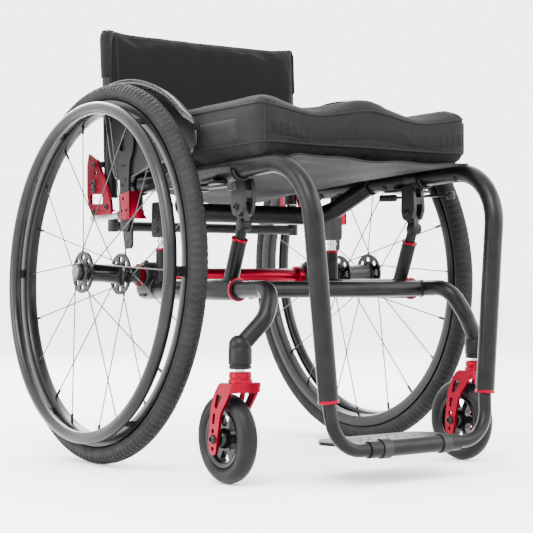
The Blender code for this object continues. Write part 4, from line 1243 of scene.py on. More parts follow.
# ---- seat frame -------------------------------------------------------------
@dataclass
class SeatFrame:
    """Seat tubes that bend down into the front legs, the cross tube and the sling."""

    tube: float = 0.014
    cross: float = 0.0152
    bend: float = 0.085
    front_sag: float = 0.004
    rear_sag: float = 0.034
    layout: Layout = LAYOUT

    def build_tubes(self) -> None:
        """Build the two bent tubes, their end plugs and the welded cross tube."""
        lay = self.layout
        for side in Side:
            sign = side.sign
            x, y, z = lay.leg_foot
            path = rounded([lay.seat_point(sign, lay.seat_rear[0]), at(sign * lay.seat_x, *lay.seat_front),
                            at(sign * x, y, z) + lay.leg_axis(sign) * 0.0024], self.bend, 28)
            tube = Shape().sweep(path, self.tube, 56)
            tube.make(f"seat_tube_{side.tag}", Finish.COAT, "frame", [f"seat_side_tube_{side.tag}"])
            rear = lay.seat_point(sign, lay.seat_rear[0])
            plug = [(-0.004, 0.0125), (-0.0002, 0.0142), (0.0022, 0.0140), (0.0034, 0.0128), (0.0038, 0.0)]
            Shape().turned([(-0.004, 0.0)] + plug, rear, Y, 40).make(
                f"seat_tube_plug_{side.tag}", Finish.FITTING, "frame")
        bar = Shape().sweep(lay.cross_path(), self.cross, 52)
        bar.make("rear_cross_tube", Finish.COAT, "frame", ["seat_cross_tube"])
        beads = Shape()
        path = lay.cross_path()
        for end, inner in ((path[0], path[1]), (path[-1], path[-2])):
            weld(beads, end, inner - end, Y, self.cross, self.tube, 0.0018)
        beads.make("cross_tube_welds", Finish.COAT, "frame")

    def height(self, u: float, v: float) -> float:
        """How far the sling hangs from the seat tubes, folds included.

        Args:
            u: Place across, from -1 to 1.
            v: Place along, from 0 at the front to 1.

        Returns:
            Height over the seat tubes' centre lines.
        """
        sag = self.front_sag + (self.rear_sag - self.front_sag) * v
        fold = 0.0016 * math.sin(9.0 * u + 5.0 * v) * math.sin(7.0 * v + 2.0) * (1 - u * u)
        edge = 0.0022 * math.sin(34.0 * v + 3.0 * math.sin(9.0 * v)) * abs(u) ** 3 * (1 - abs(u)) * 4
        return 0.012 - sag * (1 - u * u) + fold + edge

    def build_sling(self) -> None:
        """Build the sling as one sheet hung between the seat tubes, with hems and stitches."""
        lay, half, columns, rows = self.layout, 0.1600, 84, 96
        shape = Shape()
        grid = []
        for j in range(rows + 1):
            v = j / rows
            y = -0.395 + 0.425 * v
            row = []
            for i in range(columns + 1):
                u = 2 * i / columns - 1
                level = lay.seat_point(1, y).z + self.height(u, v) - 0.0015
                row.append(shape.bm.verts.new(at(u * half, y, level)))
            grid.append(row)
        for j in range(rows):
            for i in range(columns):
                shape.bm.faces.new((grid[j][i], grid[j][i + 1], grid[j + 1][i + 1], grid[j + 1][i]))
        sling = shape.make("seat_sling_cloth", Finish.SLING_CLOTH, "frame", ["seat_sling"], smooth=70)
        body = sling.modifiers.new("body", "SOLIDIFY")
        body.thickness = 0.0022
        hems = Shape()
        for v in (0.0, 0.045, 0.955, 1.0):
            y = -0.395 + 0.425 * v
            path = []
            for i in range(49):
                u = (2 * i / 48 - 1) * 0.995
                path.append(at(u * half, y, lay.seat_point(1, y).z + self.height(u, v) - 0.0026))
            hems.sweep(path, 0.0014 if v in (0.0, 1.0) else 0.0007, 8)
        hems.make("seat_sling_hems", Finish.PIPING, "frame")
        straps = Shape()
        for side in Side:
            for k in range(5):
                y = -0.360 + 0.085 * k
                seat = lay.seat_point(side.sign, y)
                straps.bolt(seat + Vector((-side.sign * 0.0100, 0, -0.0094)),
                            Vector((-side.sign, 0, -1)).normalized(), 0.0046, 0.0026)
        straps.make("sling_screws", Finish.FITTING, "frame")

    def build(self) -> None:
        """Build the seat frame and its sling."""
        self.build_tubes()
        self.build_sling()


@dataclass
class Footrest:
    """The looped footrest tube with its sleeve, plate and leg collars."""

    tube: float = 0.0095
    bend: float = 0.048
    layout: Layout = LAYOUT

    def build(self) -> None:
        """Build the footrest."""
        lay = self.layout
        x, y, z = lay.leg_foot
        left = [at(x, y, z) - lay.leg_axis(1) * 0.0024, at(0.1385, -0.4508, 0.0505), at(0, -0.4508, 0.0505)]
        path = rounded(left, self.bend, 20)
        path += [Vector((-p.x, p.y, p.z)) for p in reversed(path[:-1])]
        loop = Shape().sweep(path, self.tube, 44)
        loop.make("footrest_loop", Finish.COAT, "frame", ["footrest_tube"])
        rings = Shape()
        for side in Side:
            foot = at(side.sign * x, y, z)
            axis = lay.leg_axis(side.sign)
            rings.band(foot, axis, 0.0090, 0.0150, 0.0046, 52)
        rings.make("leg_collars", Finish.RED, "frame")
        profile = [(-0.0838, 0.0094), (-0.0838, 0.0114), (-0.0832, 0.0120), (0.0832, 0.0120),
                   (0.0838, 0.0114), (0.0838, 0.0094)]
        Shape().turned(profile, at(0, -0.4508, 0.0505), X, 48, closed=True).make(
            "footrest_grip", Finish.COAT, "frame", ["footrest_sleeve"])
        outline = soften([(-0.0880, -0.4380), (0.0880, -0.4380), (0.1120, -0.3760), (0.0900, -0.3460),
                          (-0.0900, -0.3460), (-0.1120, -0.3760)], 0.009, 6)
        holes = []
        for row in range(3):
            for k in range(-4 + row, 5 - row):
                holes.append(circle(k * 0.0170, -0.4160 + row * 0.0220, 0.0030, 12))
        plate = Shape().slab(outline, holes, at(0, 0, 0.0540), X, Y, 0.0048)
        plate.make("foot_plate", Finish.FITTING, "frame", ["footplate"], bevel=0.0008)
        clips = Shape()
        for x_place in (-0.055, 0.055):
            clips.band(at(x_place, -0.4508, 0.0505), X, 0.0118, 0.0140, 0.0160, 36)
            clips.block(at(x_place - 0.008, -0.4420, 0.0440), at(x_place + 0.008, -0.4240, 0.0514))
        clips.make("foot_plate_clips", Finish.FITTING, "frame", bevel=0.0005)


# ---- casters ----------------------------------------------------------------
@dataclass
class Caster:
    """A swivelling red fork with a small moulded wheel."""

    side: Side
    radius: float = 0.0635
    trail: float = 0.0331
    layout: Layout = LAYOUT

    def __post_init__(self) -> None:
        """Find the stem and the axle."""
        self.stem = at(self.side.sign * self.layout.caster_x, self.layout.caster_y, 0)
        self.axle = self.stem + Vector((0, self.trail, self.radius))

    def build_fork(self) -> None:
        """Build the fork's two pierced legs, its crown, cap and stem."""
        tag, body = self.side.tag, f"caster_swivel_{self.side.tag}"
        outline = soften([(-0.0170, 0.1430), (0.0170, 0.1430), (0.0290, 0.1280), (0.0380, 0.1080),
                          (0.0445, 0.0640), (0.0440, 0.0460), (0.0360, 0.0405), (0.0260, 0.0430),
                          (0.0225, 0.0640), (0.0140, 0.1000), (-0.0060, 0.1240)], 0.006, 5)
        window = soften([(0.0085, 0.1270), (0.0225, 0.1270), (0.0285, 0.1090), (0.0230, 0.1060)], 0.003)
        slot = soften([(0.0262, 0.1005), (0.0325, 0.0990), (0.0345, 0.0850), (0.0292, 0.0850)], 0.0025)
        holes = [window, slot, circle(self.trail, 0.0750, 0.0032, 20),
                 circle(self.trail + 0.0008, 0.0505, 0.0030, 20)]
        shape = Shape()
        for offset in (-0.0222, 0.0222):
            shape.slab(outline, holes, self.stem + X * offset, Y, Z, 0.0046)
        crown = soften([(-0.0240, -0.0168), (0.0240, -0.0168), (0.0240, 0.0168), (-0.0240, 0.0168)], 0.005, 5)
        shape.slab(crown, [], self.stem + Z * 0.1368, X, Y, 0.0132)
        shape.turned([(0.1400, 0.0), (0.1400, 0.0172), (0.1480, 0.0166), (0.1492, 0.0152), (0.1504, 0.0152),
                      (0.1512, 0.0160), (0.1572, 0.0156), (0.1585, 0.0142), (0.1585, 0.0)], self.stem, Z, 48)
        shape.make(f"fork_body_{tag}", Finish.RED, body, [f"caster_fork_{tag}"], bevel=0.0009)
        Shape().rod(self.stem + Z * 0.1560, self.stem + Z * 0.1890, 0.0063, 28).make(
            f"fork_stem_{tag}", Finish.STEEL, body)
        nuts = Shape()
        for way in (-1, 1):
            seat = self.axle + X * way * 0.0245
            nuts.bolt(seat, X * way, 0.0066, 0.0040)
        nuts.rod(self.axle - X * 0.0240, self.axle + X * 0.0240, 0.0030, 20)
        nuts.make(f"fork_axle_{tag}", Finish.FITTING, body, [f"caster_axle_{tag}"])

    def build_wheel(self) -> None:
        """Build the tread and the core with its windows and bearing bosses."""
        tag, body = self.side.tag, f"caster_wheel_{self.side.tag}"
        ring, count = self.radius - 0.0120, 40
        profile = []
        for k in range(count):
            turn = math.tau * k / count
            bulge = abs(math.cos(turn)) ** 0.85 * math.copysign(1, math.cos(turn))
            profile.append((0.0135 * math.sin(turn), ring + 0.0120 * bulge))
        Shape().turned(profile, self.axle, X, 120, closed=True).make(
            f"caster_tread_{tag}", Finish.CASTER_TREAD, body, [f"caster_tyre_{tag}"])
        holes = []
        for k in range(6):
            middle = math.tau * (k + 0.5) / 6
            arc = [(0.0330 * math.cos(middle + t), 0.0330 * math.sin(middle + t))
                   for t in (-0.38, -0.2, 0, 0.2, 0.38)]
            foot = [(0.0175 * math.cos(middle + t), 0.0175 * math.sin(middle + t)) for t in (0.25, -0.25)]
            holes.append(soften(arc + foot, 0.003))
        core = Shape().slab(circle(0, 0, 0.0392, 96), holes + [circle(0, 0, 0.0046, 20)], self.axle,
                            Y, Z, 0.0100)
        for way in (-1, 1):
            core.turned([(0.0040, 0.0046), (0.0040, 0.0150), (0.0090, 0.0136), (0.0150, 0.0122),
                         (0.0160, 0.0112), (0.0160, 0.0046)], self.axle, X * way, 48, closed=True)
            core.turned([(0.0040, 0.0345), (0.0088, 0.0352), (0.0096, 0.0368), (0.0096, 0.0410),
                         (0.0040, 0.0410)], self.axle, X * way, 96, closed=True)
        core.make(f"caster_hub_{tag}", Finish.GLOSS, body, [f"caster_core_{tag}"], bevel=0.0007)

    def build(self) -> None:
        """Build the fork and the wheel."""
        self.build_fork()
        self.build_wheel()


# ---- soft parts ---------------------------------------------------------------
def remesh(piece: bpy.types.Object, size: float) -> None:
    """Rebuild a closed piece as even quads.

    Args:
        piece: The piece, changed in place.
        size: Width of a quad.
    """
    grid = piece.modifiers.new("grid", "REMESH")
    grid.mode = "VOXEL"
    grid.voxel_size = size
    grid.use_smooth_shade = True
    bake(piece)


def bake(piece: bpy.types.Object) -> None:
    """Apply a piece's modifiers to its own mesh.

    Args:
        piece: The piece, changed in place.
    """
    graph = bpy.context.evaluated_depsgraph_get()
    mesh = bpy.data.meshes.new_from_object(piece.evaluated_get(graph))
    piece.modifiers.clear()
    piece.data = mesh
    mesh.shade_smooth()


def inflate(piece: bpy.types.Object, pressure: float, reach: float, frames: int = 20) -> None:
    """Let a padded piece settle under the pressure of its filling.

    Args:
        piece: A closed piece of even quads, changed in place.
        pressure: Force of the filling.
        reach: The farthest that any point may move.
        frames: Steps of the simulation.
    """
    scene = bpy.context.scene
    before = [vert.co.copy() for vert in piece.data.vertices]
    cloth = piece.modifiers.new("cloth", "CLOTH")
    cloth.settings.quality = 5
    cloth.settings.mass = 0.35
    cloth.settings.tension_stiffness = 22.0
    cloth.settings.compression_stiffness = 22.0
    cloth.settings.bending_stiffness = 1.5
    cloth.settings.use_pressure = True
    cloth.settings.uniform_pressure_force = pressure
    cloth.settings.effector_weights.gravity = 0.0
    cloth.collision_settings.use_self_collision = False
    for step in range(1, frames + 1):
        scene.frame_set(step)
    graph = bpy.context.evaluated_depsgraph_get()
    settled = [vert.co.copy() for vert in piece.evaluated_get(graph).data.vertices]
    piece.modifiers.clear()
    scene.frame_set(1)
    for vert, start, end in zip(piece.data.vertices, before, settled):
        move = end - start
        vert.co = start + move * min(1.0, reach / max(move.length, 1e-9))
    soft = piece.modifiers.new("soft", "SUBSURF")
    soft.levels = soft.render_levels = 1


class Surface:
    """A soft piece's skin, read so that seams and trim can lie on it."""

    def __init__(self, piece: bpy.types.Object) -> None:
        """Read the piece's own mesh."""
        self.tree = BVHTree.FromPolygons([vert.co.copy() for vert in piece.data.vertices],
                                         [list(face.vertices) for face in piece.data.polygons])

    def drop(self, start: Vector, way: Vector, lift: float) -> Vector:
        """Follow a ray to the skin.

        Args:
            start: Where the ray starts, outside the piece.
            way: Its direction.
            lift: Height of the result over the skin.

        Returns:
            The place found, or the ray's start when it misses.
        """
        place, normal, _, _ = self.tree.ray_cast(start, way)
        if place is None:
            return start
        return place - way * lift if normal.dot(way) > 0 else place + normal * lift

    def strip(self, rows: Sequence[Sequence[tuple[Vector, Vector]]],
              lift: Callable[[int, int], float]) -> Shape:
        """Lay a grid of rays on the skin and join the places found by quads.

        Args:
            rows: Rays (start, way), row by row.
            lift: Height over the skin at a row and column.

        Returns:
            The strip as a shape.
        """
        shape = Shape()
        grid = [[shape.bm.verts.new(self.drop(start, way, lift(j, i))) for i, (start, way) in enumerate(row)]
                for j, row in enumerate(rows)]
        for low, high in zip(grid, grid[1:]):
            for i in range(len(low) - 1):
                shape.bm.faces.new((low[i], low[i + 1], high[i + 1], high[i]))
        return shape


@dataclass
class Cushion:
    """A foam cushion: raised corners, a pommel, a ribbed band and piped seams."""

    half: float = 0.1965
    front: float = -0.3640
    rear: float = 0.0480
    bottom: float = 0.4690
    thick: float = 0.0690
    corner: float = 0.016
    layout: Layout = LAYOUT

    @property
    def middle(self) -> float:
        """The cushion's middle, from the axle."""
        return (self.front + self.rear) / 2

    def edge(self, count: int, grow: float = 0.0) -> list[tuple[float, float, float, float]]:
        """Walk round the outline at even steps.

        Args:
            count: Steps round the outline.
            grow: How far outside the outline to walk.

        Returns:
            For each step x, y and the outward direction.
        """
        flat_x, flat_y = self.half - self.corner, (self.rear - self.front) / 2 - self.corner
        quarter = math.pi / 2 * self.corner
        lengths = [2 * flat_y, quarter, 2 * flat_x, quarter, 2 * flat_y, quarter, 2 * flat_x, quarter]
        total = sum(lengths)
        walk = []
        for k in range(count):
            s, leg = total * k / count, 0
            while s > lengths[leg]:
                s -= lengths[leg]
                leg += 1
            turn = (leg // 2) * math.pi / 2
            if leg % 2 == 0:
                a, b = (self.half, s - flat_y) if leg in (0, 4) else (flat_y + self.corner, s - flat_x)
                x, y = a * math.cos(turn) - b * math.sin(turn), a * math.sin(turn) + b * math.cos(turn)
                nx, ny = math.cos(turn), math.sin(turn)
            else:
                angle = turn + s / self.corner
                nx, ny = math.cos(angle), math.sin(angle)
                cx = flat_x if leg in (1, 7) else -flat_x
                cy = flat_y if leg in (1, 3) else -flat_y
                x, y = cx + self.corner * nx, cy + self.corner * ny
            walk.append((x + nx * grow, y + self.middle + ny * grow, nx, ny))
        return walk

    def crown(self, x: float, y: float) -> float:
        """Height of the top over its plain level.

        Args:
            x: Across the chair.
            y: Along the chair, from the axle.

        Returns:
            The height.
        """
        u = x / self.half
        forward = max(0.0, min(1.0, (self.middle - y) / (self.middle - self.front)))
        corners = 0.0095 * max(0.0, (abs(u) - 0.60) / 0.40) ** 2
        dips = -0.0085 * math.exp(-((abs(u) - 0.50) / 0.22) ** 2)
        pommel = 0.0080 * math.exp(-(u / 0.20) ** 2)
        rear = -0.0040 * (1 - u * u)
        return corners + (dips + pommel) * (0.30 + 0.70 * forward) + rear * (1 - forward)

    def build_pad(self) -> bpy.types.Object:
        """Build the pad itself and let its filling push it out.

        Returns:
            The pad.
        """
        shape = Shape()
        outline = [(x, y) for x, y, _, _ in self.edge(96)]
        levels = [(0.0, 0.962), (0.004, 0.985), (0.012, 1.0), (self.thick - 0.012, 1.0),
                  (self.thick - 0.004, 0.988), (self.thick, 0.968)]
        rings = [[shape.bm.verts.new(at(x * size, self.middle + (y - self.middle) * size,
                                        self.bottom + height)) for x, y in outline]
                 for height, size in levels]
        shape.skin(rings, False)
        bmesh.ops.triangulate(shape.bm, faces=[face for face in shape.bm.faces if len(face.verts) > 4])
        pad = shape.make("cushion_pad", Finish.COVER, "frame", ["cushion"])
        remesh(pad, 0.0055)
        for vert in pad.data.vertices:
            share = max(0.0, (vert.co.z - self.bottom) / self.thick)
            y = vert.co.y - AXLE.y
            vert.co.z += self.crown(vert.co.x, y) * share ** 1.5
        inflate(pad, 3.5, 0.0070)
        return pad

    def build_trim(self, pad: bpy.types.Object) -> None:
        """Lay the piping, the ribbed band, the corner seams and the blank patch.

        Args:
            pad: The finished pad.
        """
        skin = Surface(pad)

        def ring(height: float, count: int, lift: float) -> list[Vector]:
            """Trace one level of the side.

            Args:
                height: Height over the bottom.
                count: Points round the side.
                lift: Distance outside the skin.

            Returns:
                The closed path.
            """
            path = []
            for x, y, nx, ny in self.edge(count, 0.03):
                rise = self.crown(x - nx * 0.03, y - ny * 0.03) * (height / self.thick) ** 1.5
                level = self.bottom + height + rise
                path.append(skin.drop(at(x, y, level), Vector((-nx, -ny, 0)), lift))
            return path + path[:2]
        piping = Shape()
        for height in (0.0105, 0.0585):
            piping.sweep(ring(height, 240, 0.0004), 0.0016, 10)
        corners = (math.pi / 4, 3 * math.pi / 4, 5 * math.pi / 4, 7 * math.pi / 4)
        for angle in corners:
            nx, ny = math.cos(angle), math.sin(angle)
            cx = math.copysign(self.half - self.corner, nx) + nx * 0.06
            cy = math.copysign((self.rear - self.front) / 2 - self.corner, ny) + self.middle + ny * 0.06
            inward = Vector((-nx, -ny, 0))
            path = [skin.drop(at(cx, cy, self.bottom + 0.0105 + 0.048 * k / 12), inward, 0.0002)
                    for k in range(13)]
            piping.sweep(path, 0.0015, 8)
        piping.make("cushion_piping", Finish.PIPING, "frame")
        levels = [0.0180 + 0.0215 * j / 6 for j in range(7)]
        across = [(2 * i / 300 - 1) * (self.half - 0.006) for i in range(301)]
        rows = [[(at(x, self.front - 0.03, self.bottom + level + self.crown(x, self.front) * 0.4), Y)
                 for x in across] for level in levels]

        def lift(j: int, i: int) -> float:
            """Ribs stand up between the band's two edges.

            Args:
                j: Row of the strip.
                i: Column of the strip.

            Returns:
                Height over the skin.
            """
            edge = 0.0 if j in (0, 6) or i in (0, 300) else 1.0
            return -0.0004 + edge * (0.0011 + 0.0005 * (i // 2 % 2))
        skin.strip(rows, lift).make("cushion_band", Finish.BAND, "frame", smooth=80)
        patch_rows = []
        for j in range(9):
            level = self.bottom + 0.0150 + 0.0330 * j / 8
            patch_rows.append([(at(-self.half - 0.03, -0.299 + 0.102 * i / 40, level), X) for i in range(41)])

        def patch(j: int, i: int) -> float:
            """The patch's rim sinks into the cover."""
            return -0.0006 if j in (0, 8) or i in (0, 40) else 0.0022
        skin.strip(patch_rows, patch).make("cushion_patch", Finish.PATCH, "frame", smooth=50)

    def build(self) -> None:
        """Build the cushion pad and its trim."""
        pad = self.build_pad()
        self.build_trim(pad)


@dataclass
class Backrest:
    """Canes, hinge plates, brackets and the padded upholstery."""

    low: float = 0.4520
    high: float = 0.7060
    half: float = 0.1950
    cane: float = 0.0110
    layout: Layout = LAYOUT

    def place(self, x: float, depth: float, level: float) -> Vector:
        """A place by its height and its depth behind the canes' plane.

        Args:
            x: Across the chair.
            depth: Distance behind the canes' plane.
            level: Height over the floor.

        Returns:
            The place.
        """
        _, y, z = self.layout.back_foot
        up = self.layout.back_up
        centre = at(0, y, z) + up * ((level - z) / up.z)
        return centre + Vector((x, depth, 0))

    def build_canes(self) -> None:
        """Build the canes, their caps and the red plates bolted to them."""
        up = self.layout.back_up
        outline = soften([(0.0642, 0.4000), (0.0700, 0.3950), (0.1302, 0.3945), (0.1420, 0.4120),
                          (0.1478, 0.4307), (0.1476, 0.4813), (0.1403, 0.5010), (0.1120, 0.4871),
                          (0.0674, 0.4181)], 0.004, 5)
        window = soften([(0.0930, 0.4128), (0.1360, 0.4150), (0.1360, 0.4310), (0.0930, 0.4290)], 0.003)
        small = soften([(0.1140, 0.4580), (0.1250, 0.4670), (0.1140, 0.4690)], 0.002)
        drilled = ((0.0900, 0.4020), (0.1000, 0.4020), (0.1090, 0.4030), (0.1380, 0.4470), (0.1370, 0.4900))
        x, y, z = self.layout.back_foot
        for side in Side:
            foot = at(side.sign * x, y, z)
            cane = Shape().rod(foot, foot + up * 0.2796, self.cane, 44, 0.0016)
            cane.rod(foot - up * 0.0010, foot + up * 0.0040, 0.0118, 40, 0.0008)
            cane.make(f"back_cane_tube_{side.tag}", Finish.COAT, "backrest", [f"back_cane_{side.tag}"])
            face = at(side.sign * 0.2000, 0, 0)
            holes = [window, small]
            holes += [circle(a, b, 0.0018, 12) for a, b in drilled]
            plate = Shape().slab(outline, holes, face, Y, Z, 0.0050)
            plate.make(f"hinge_plate_{side.tag}", Finish.RED, "backrest",
                       [f"back_hinge_plate_{side.tag}"], bevel=0.0007)
            bolts = Shape()
            for by, bz, size in ((0.1214, 0.4793, 0.0040), (0.1216, 0.4490, 0.0058), (0.1217, 0.4385, 0.0050),
                                 (0.0800, 0.4075, 0.0046), (0.1240, 0.4010, 0.0040)):
                bolts.bolt(face + Vector((side.sign * 0.0025, by, bz)), X * side.sign, size, 0.0030)
            for by, bz in ((0.1060, 0.4793), (0.1060, 0.4440)):
                bolts.rod(at(side.sign * x, by, bz), face + Vector((0, by, bz)), 0.0052, 24)
            bolts.make(f"hinge_plate_bolts_{side.tag}", Finish.FITTING, "backrest")

    def build_brackets(self) -> None:
        """Build the red channels for the guards' straps, their rails and the rear bar."""
        for side in Side:
            sign, tag = side.sign, side.tag
            outer = soften([(-0.0241, 0.3830), (0.0090, 0.3815), (0.0100, 0.4228), (-0.0241, 0.4272)], 0.002)
            holes = [circle(-0.0042, 0.4160, 0.0028, 18), circle(0.0008, 0.3967, 0.0026, 18),
                     circle(-0.0138, 0.3976, 0.0026, 18)]
            shape = Shape().slab(outer, holes, at(sign * 0.2165, 0, 0), Y, Z, 0.0030)
            notch = [(0.1854, 0.3842), (0.2178, 0.3832), (0.2178, 0.4270), (0.1927, 0.4285), (0.1956, 0.4250),
                     (0.1985, 0.4195), (0.1998, 0.4125), (0.1988, 0.4050), (0.1955, 0.3980), (0.1905, 0.3910)]
            shape.slab([(sign * a, b) for a, b in notch], [], at(0, -0.0221, 0), X, Z, 0.0040)
            shape.make(f"strap_channel_{tag}", Finish.RED, "frame", [f"back_bracket_{tag}"], bevel=0.0005)
            rail = Shape().rod(at(sign * 0.1900, -0.0120, 0.3950), at(sign * 0.1900, 0.1500, 0.3915),
                               0.0068, 36, 0.0010)
            rail.make(f"bracket_rail_{tag}", Finish.BARE, "frame")
            lug = Shape().rod(at(sign * 0.1840, 0.0900, 0.4010), at(sign * 0.1840, 0.0900, 0.3670),
                              0.0092, 32, 0.0012)
            lug.band(at(sign * 0.1900, 0.0440, 0.3938), Y, 0.0066, 0.0086, 0.0140, 36)
            lug.rod(at(sign * 0.1800, 0.0150, 0.3945), at(sign * 0.1800, 0.0150, 0.4285), 0.0085, 32)
            lug.band(at(sign * 0.1760, 0.0200, 0.4401), Y, 0.0139, 0.0172, 0.0260, 44)
            lug.block(at(sign * 0.1975, -0.0196, 0.3900), at(sign * 0.2098, 0.0080, 0.4180))
            tongue = soften([(-0.0160, 0.3420), (-0.0110, 0.3365), (0.0040, 0.3365), (0.0078, 0.3410),
                             (0.0078, 0.3950), (-0.0160, 0.3950)], 0.003)
            lug.slab(tongue, [circle(-0.0045, 0.3480, 0.0022, 14)], at(sign * 0.2076, 0, 0), Y, Z, 0.0042)
            lug.make(f"bracket_casting_{tag}", Finish.FITTING, "frame", [f"guard_receiver_{tag}"],
                     bevel=0.0008)
            bolts = Shape()
            bolts.bolt(at(sign * 0.1840, 0.0900, 0.4008), Z, 0.0052, 0.0030)
            for by in (0.0120, 0.0290):
                bolts.bolt(at(sign * 0.1932, by, 0.4401), X * sign, 0.0040, 0.0026)
            bolts.make(f"bracket_bolts_{tag}", Finish.FITTING, "frame")
        bar = Shape().rod(at(-0.1828, 0.0900, 0.3765), at(0.1828, 0.0900, 0.3765), 0.0085, 44)
        bar.make("back_bar", Finish.FITTING, "frame", ["rear_bar"])

    def build_upholstery(self) -> None:
        """Build the padded back, its side wraps (in a lighter cloth that paints a highlight), seams and rear
        straps.
        """
        shape, columns = Shape(), 48
        rings = []
        tall = self.high - self.low
        ends = [(0.0, 0.40), (0.003, 0.72), (0.009, 0.92), (0.018, 1.0)]
        levels = ends + [(tall / 2, 1.0)] + [(tall - height, size) for height, size in reversed(ends)]
        for height, size in levels:
            ring = []
            for k in range(columns * 2):
                turn = math.tau * k / (columns * 2)
                side = abs(math.cos(turn)) ** 0.16 * math.copysign(1, math.cos(turn))
                face = abs(math.sin(turn)) ** 0.55 * math.copysign(1, math.sin(turn))
                u = side
                bow = 0.010 * (1 - u * u)
                depth = (0.0128 if face > 0 else 0.0160) * face * size
                across = u * (self.half - 0.010 * (1 - size))
                ring.append(shape.bm.verts.new(self.place(across, bow + depth - 0.0006, self.low + height)))
            rings.append(ring)
        shape.skin(rings, False)
        bmesh.ops.triangulate(shape.bm, faces=[face for face in shape.bm.faces if len(face.verts) > 4])
        pad = shape.make("back_pad", Finish.BACK_CLOTH, "backrest", ["back_upholstery"])
        remesh(pad, 0.0050)
        for vert in pad.data.vertices:
            u, level = vert.co.x / self.half, (vert.co.z - self.low) / (self.high - self.low)
            crease = math.sin(23 * u + 4 * math.sin(5 * level)) * math.sin(9 * level + 3 * u)
            vert.co.y += 0.0008 * crease * (1 - u * u)
        inflate(pad, 3.0, 0.0050)
        self.build_trim(pad)

    def build_trim(self, pad: bpy.types.Object) -> None:
        """Lay seams, side flaps in a lighter cloth that paints a highlight, and tension straps on the pad.

        Args:
            pad: The finished pad.
        """
        skin, seams = Surface(pad), Shape()

        def trace(points: Sequence[tuple[float, float]], way: Vector, lift: float) -> list[Vector]:
            """Trace (x, level) points on the front or the rear.

            Args:
                points: The points.
                way: Where the rays go.
                lift: Distance outside the skin.

            Returns:
                The places found.
            """
            return [skin.drop(self.place(x, -0.10 * way.y, level), way, lift) for x, level in points]
        for way in (Y, -Y):
            for u in (-0.90, 0.90):
                tall = self.high - self.low - 0.012
                path = [(u * self.half, self.low + 0.006 + tall * k / 40) for k in range(41)]
                seams.sweep(trace(path, way, -0.0004), 0.0010, 8)
            path = [((2 * k / 80 - 1) * self.half * 0.97, self.high - 0.0120) for k in range(81)]
            seams.sweep(trace(path, way, -0.0004), 0.0010, 8)
            path = [((2 * k / 80 - 1) * self.half * 0.97, self.low + 0.0120) for k in range(81)]
            seams.sweep(trace(path, way, 0.0001), 0.0009, 8)
        seams.make("back_seams", Finish.PIPING, "backrest")
        for side in Side:
            rows = []
            for j in range(21):
                level = 0.6215 + 0.0800 * j / 20
                row = []
                for i in range(25):
                    turn = math.radians(-62 + 124 * i / 24) * side.sign
                    way = Vector((-math.cos(turn) * side.sign, -math.sin(turn) * side.sign, 0))
                    centre = self.place(side.sign * (self.half - 0.014), 0.0, level)
                    row.append((centre - way * 0.09, way))
                rows.append(row)

            def lift(j: int, i: int) -> float:
                """The flap's rim sinks into the cover."""
                return -0.0006 if j in (0, 20) or i in (0, 24) else 0.0060
            # The flap is laid in the lighter side-wrap cloth: painted highlight along the back's rounded side
            # edge.
            flap = skin.strip(rows, lift)
            flap.make(f"back_flap_painted_highlight_{side.tag}", Finish.FLAP, "backrest", smooth=60)
        buckles = Shape()
        for level in (0.505, 0.572, 0.640):
            for x in (-0.07, 0.07):
                buckles.block(self.place(x - 0.012, 0.0240, level - 0.012),
                              self.place(x + 0.012, 0.0275, level + 0.012))
        for row in range(3):
            level = 0.505 + 0.0675 * row
            grid = []
            for j in range(5):
                z = level - 0.0100 + 0.0200 * j / 4
                reach = self.half * 0.93
                grid.append([(self.place((2 * i / 60 - 1) * reach, 0.10, z), -Y) for i in range(61)])
            strap = skin.strip(grid, lambda j, i: -0.0003 if j in (0, 4) else 0.0018)
            strap.make(f"back_strap_{row + 1}", Finish.PIPING, "backrest", smooth=60)
        buckles.make("back_strap_buckles", Finish.FITTING, "backrest", bevel=0.0008)

    def build(self) -> None:
        """Build the whole backrest."""
        self.build_canes()
        self.build_brackets()
        self.build_upholstery()


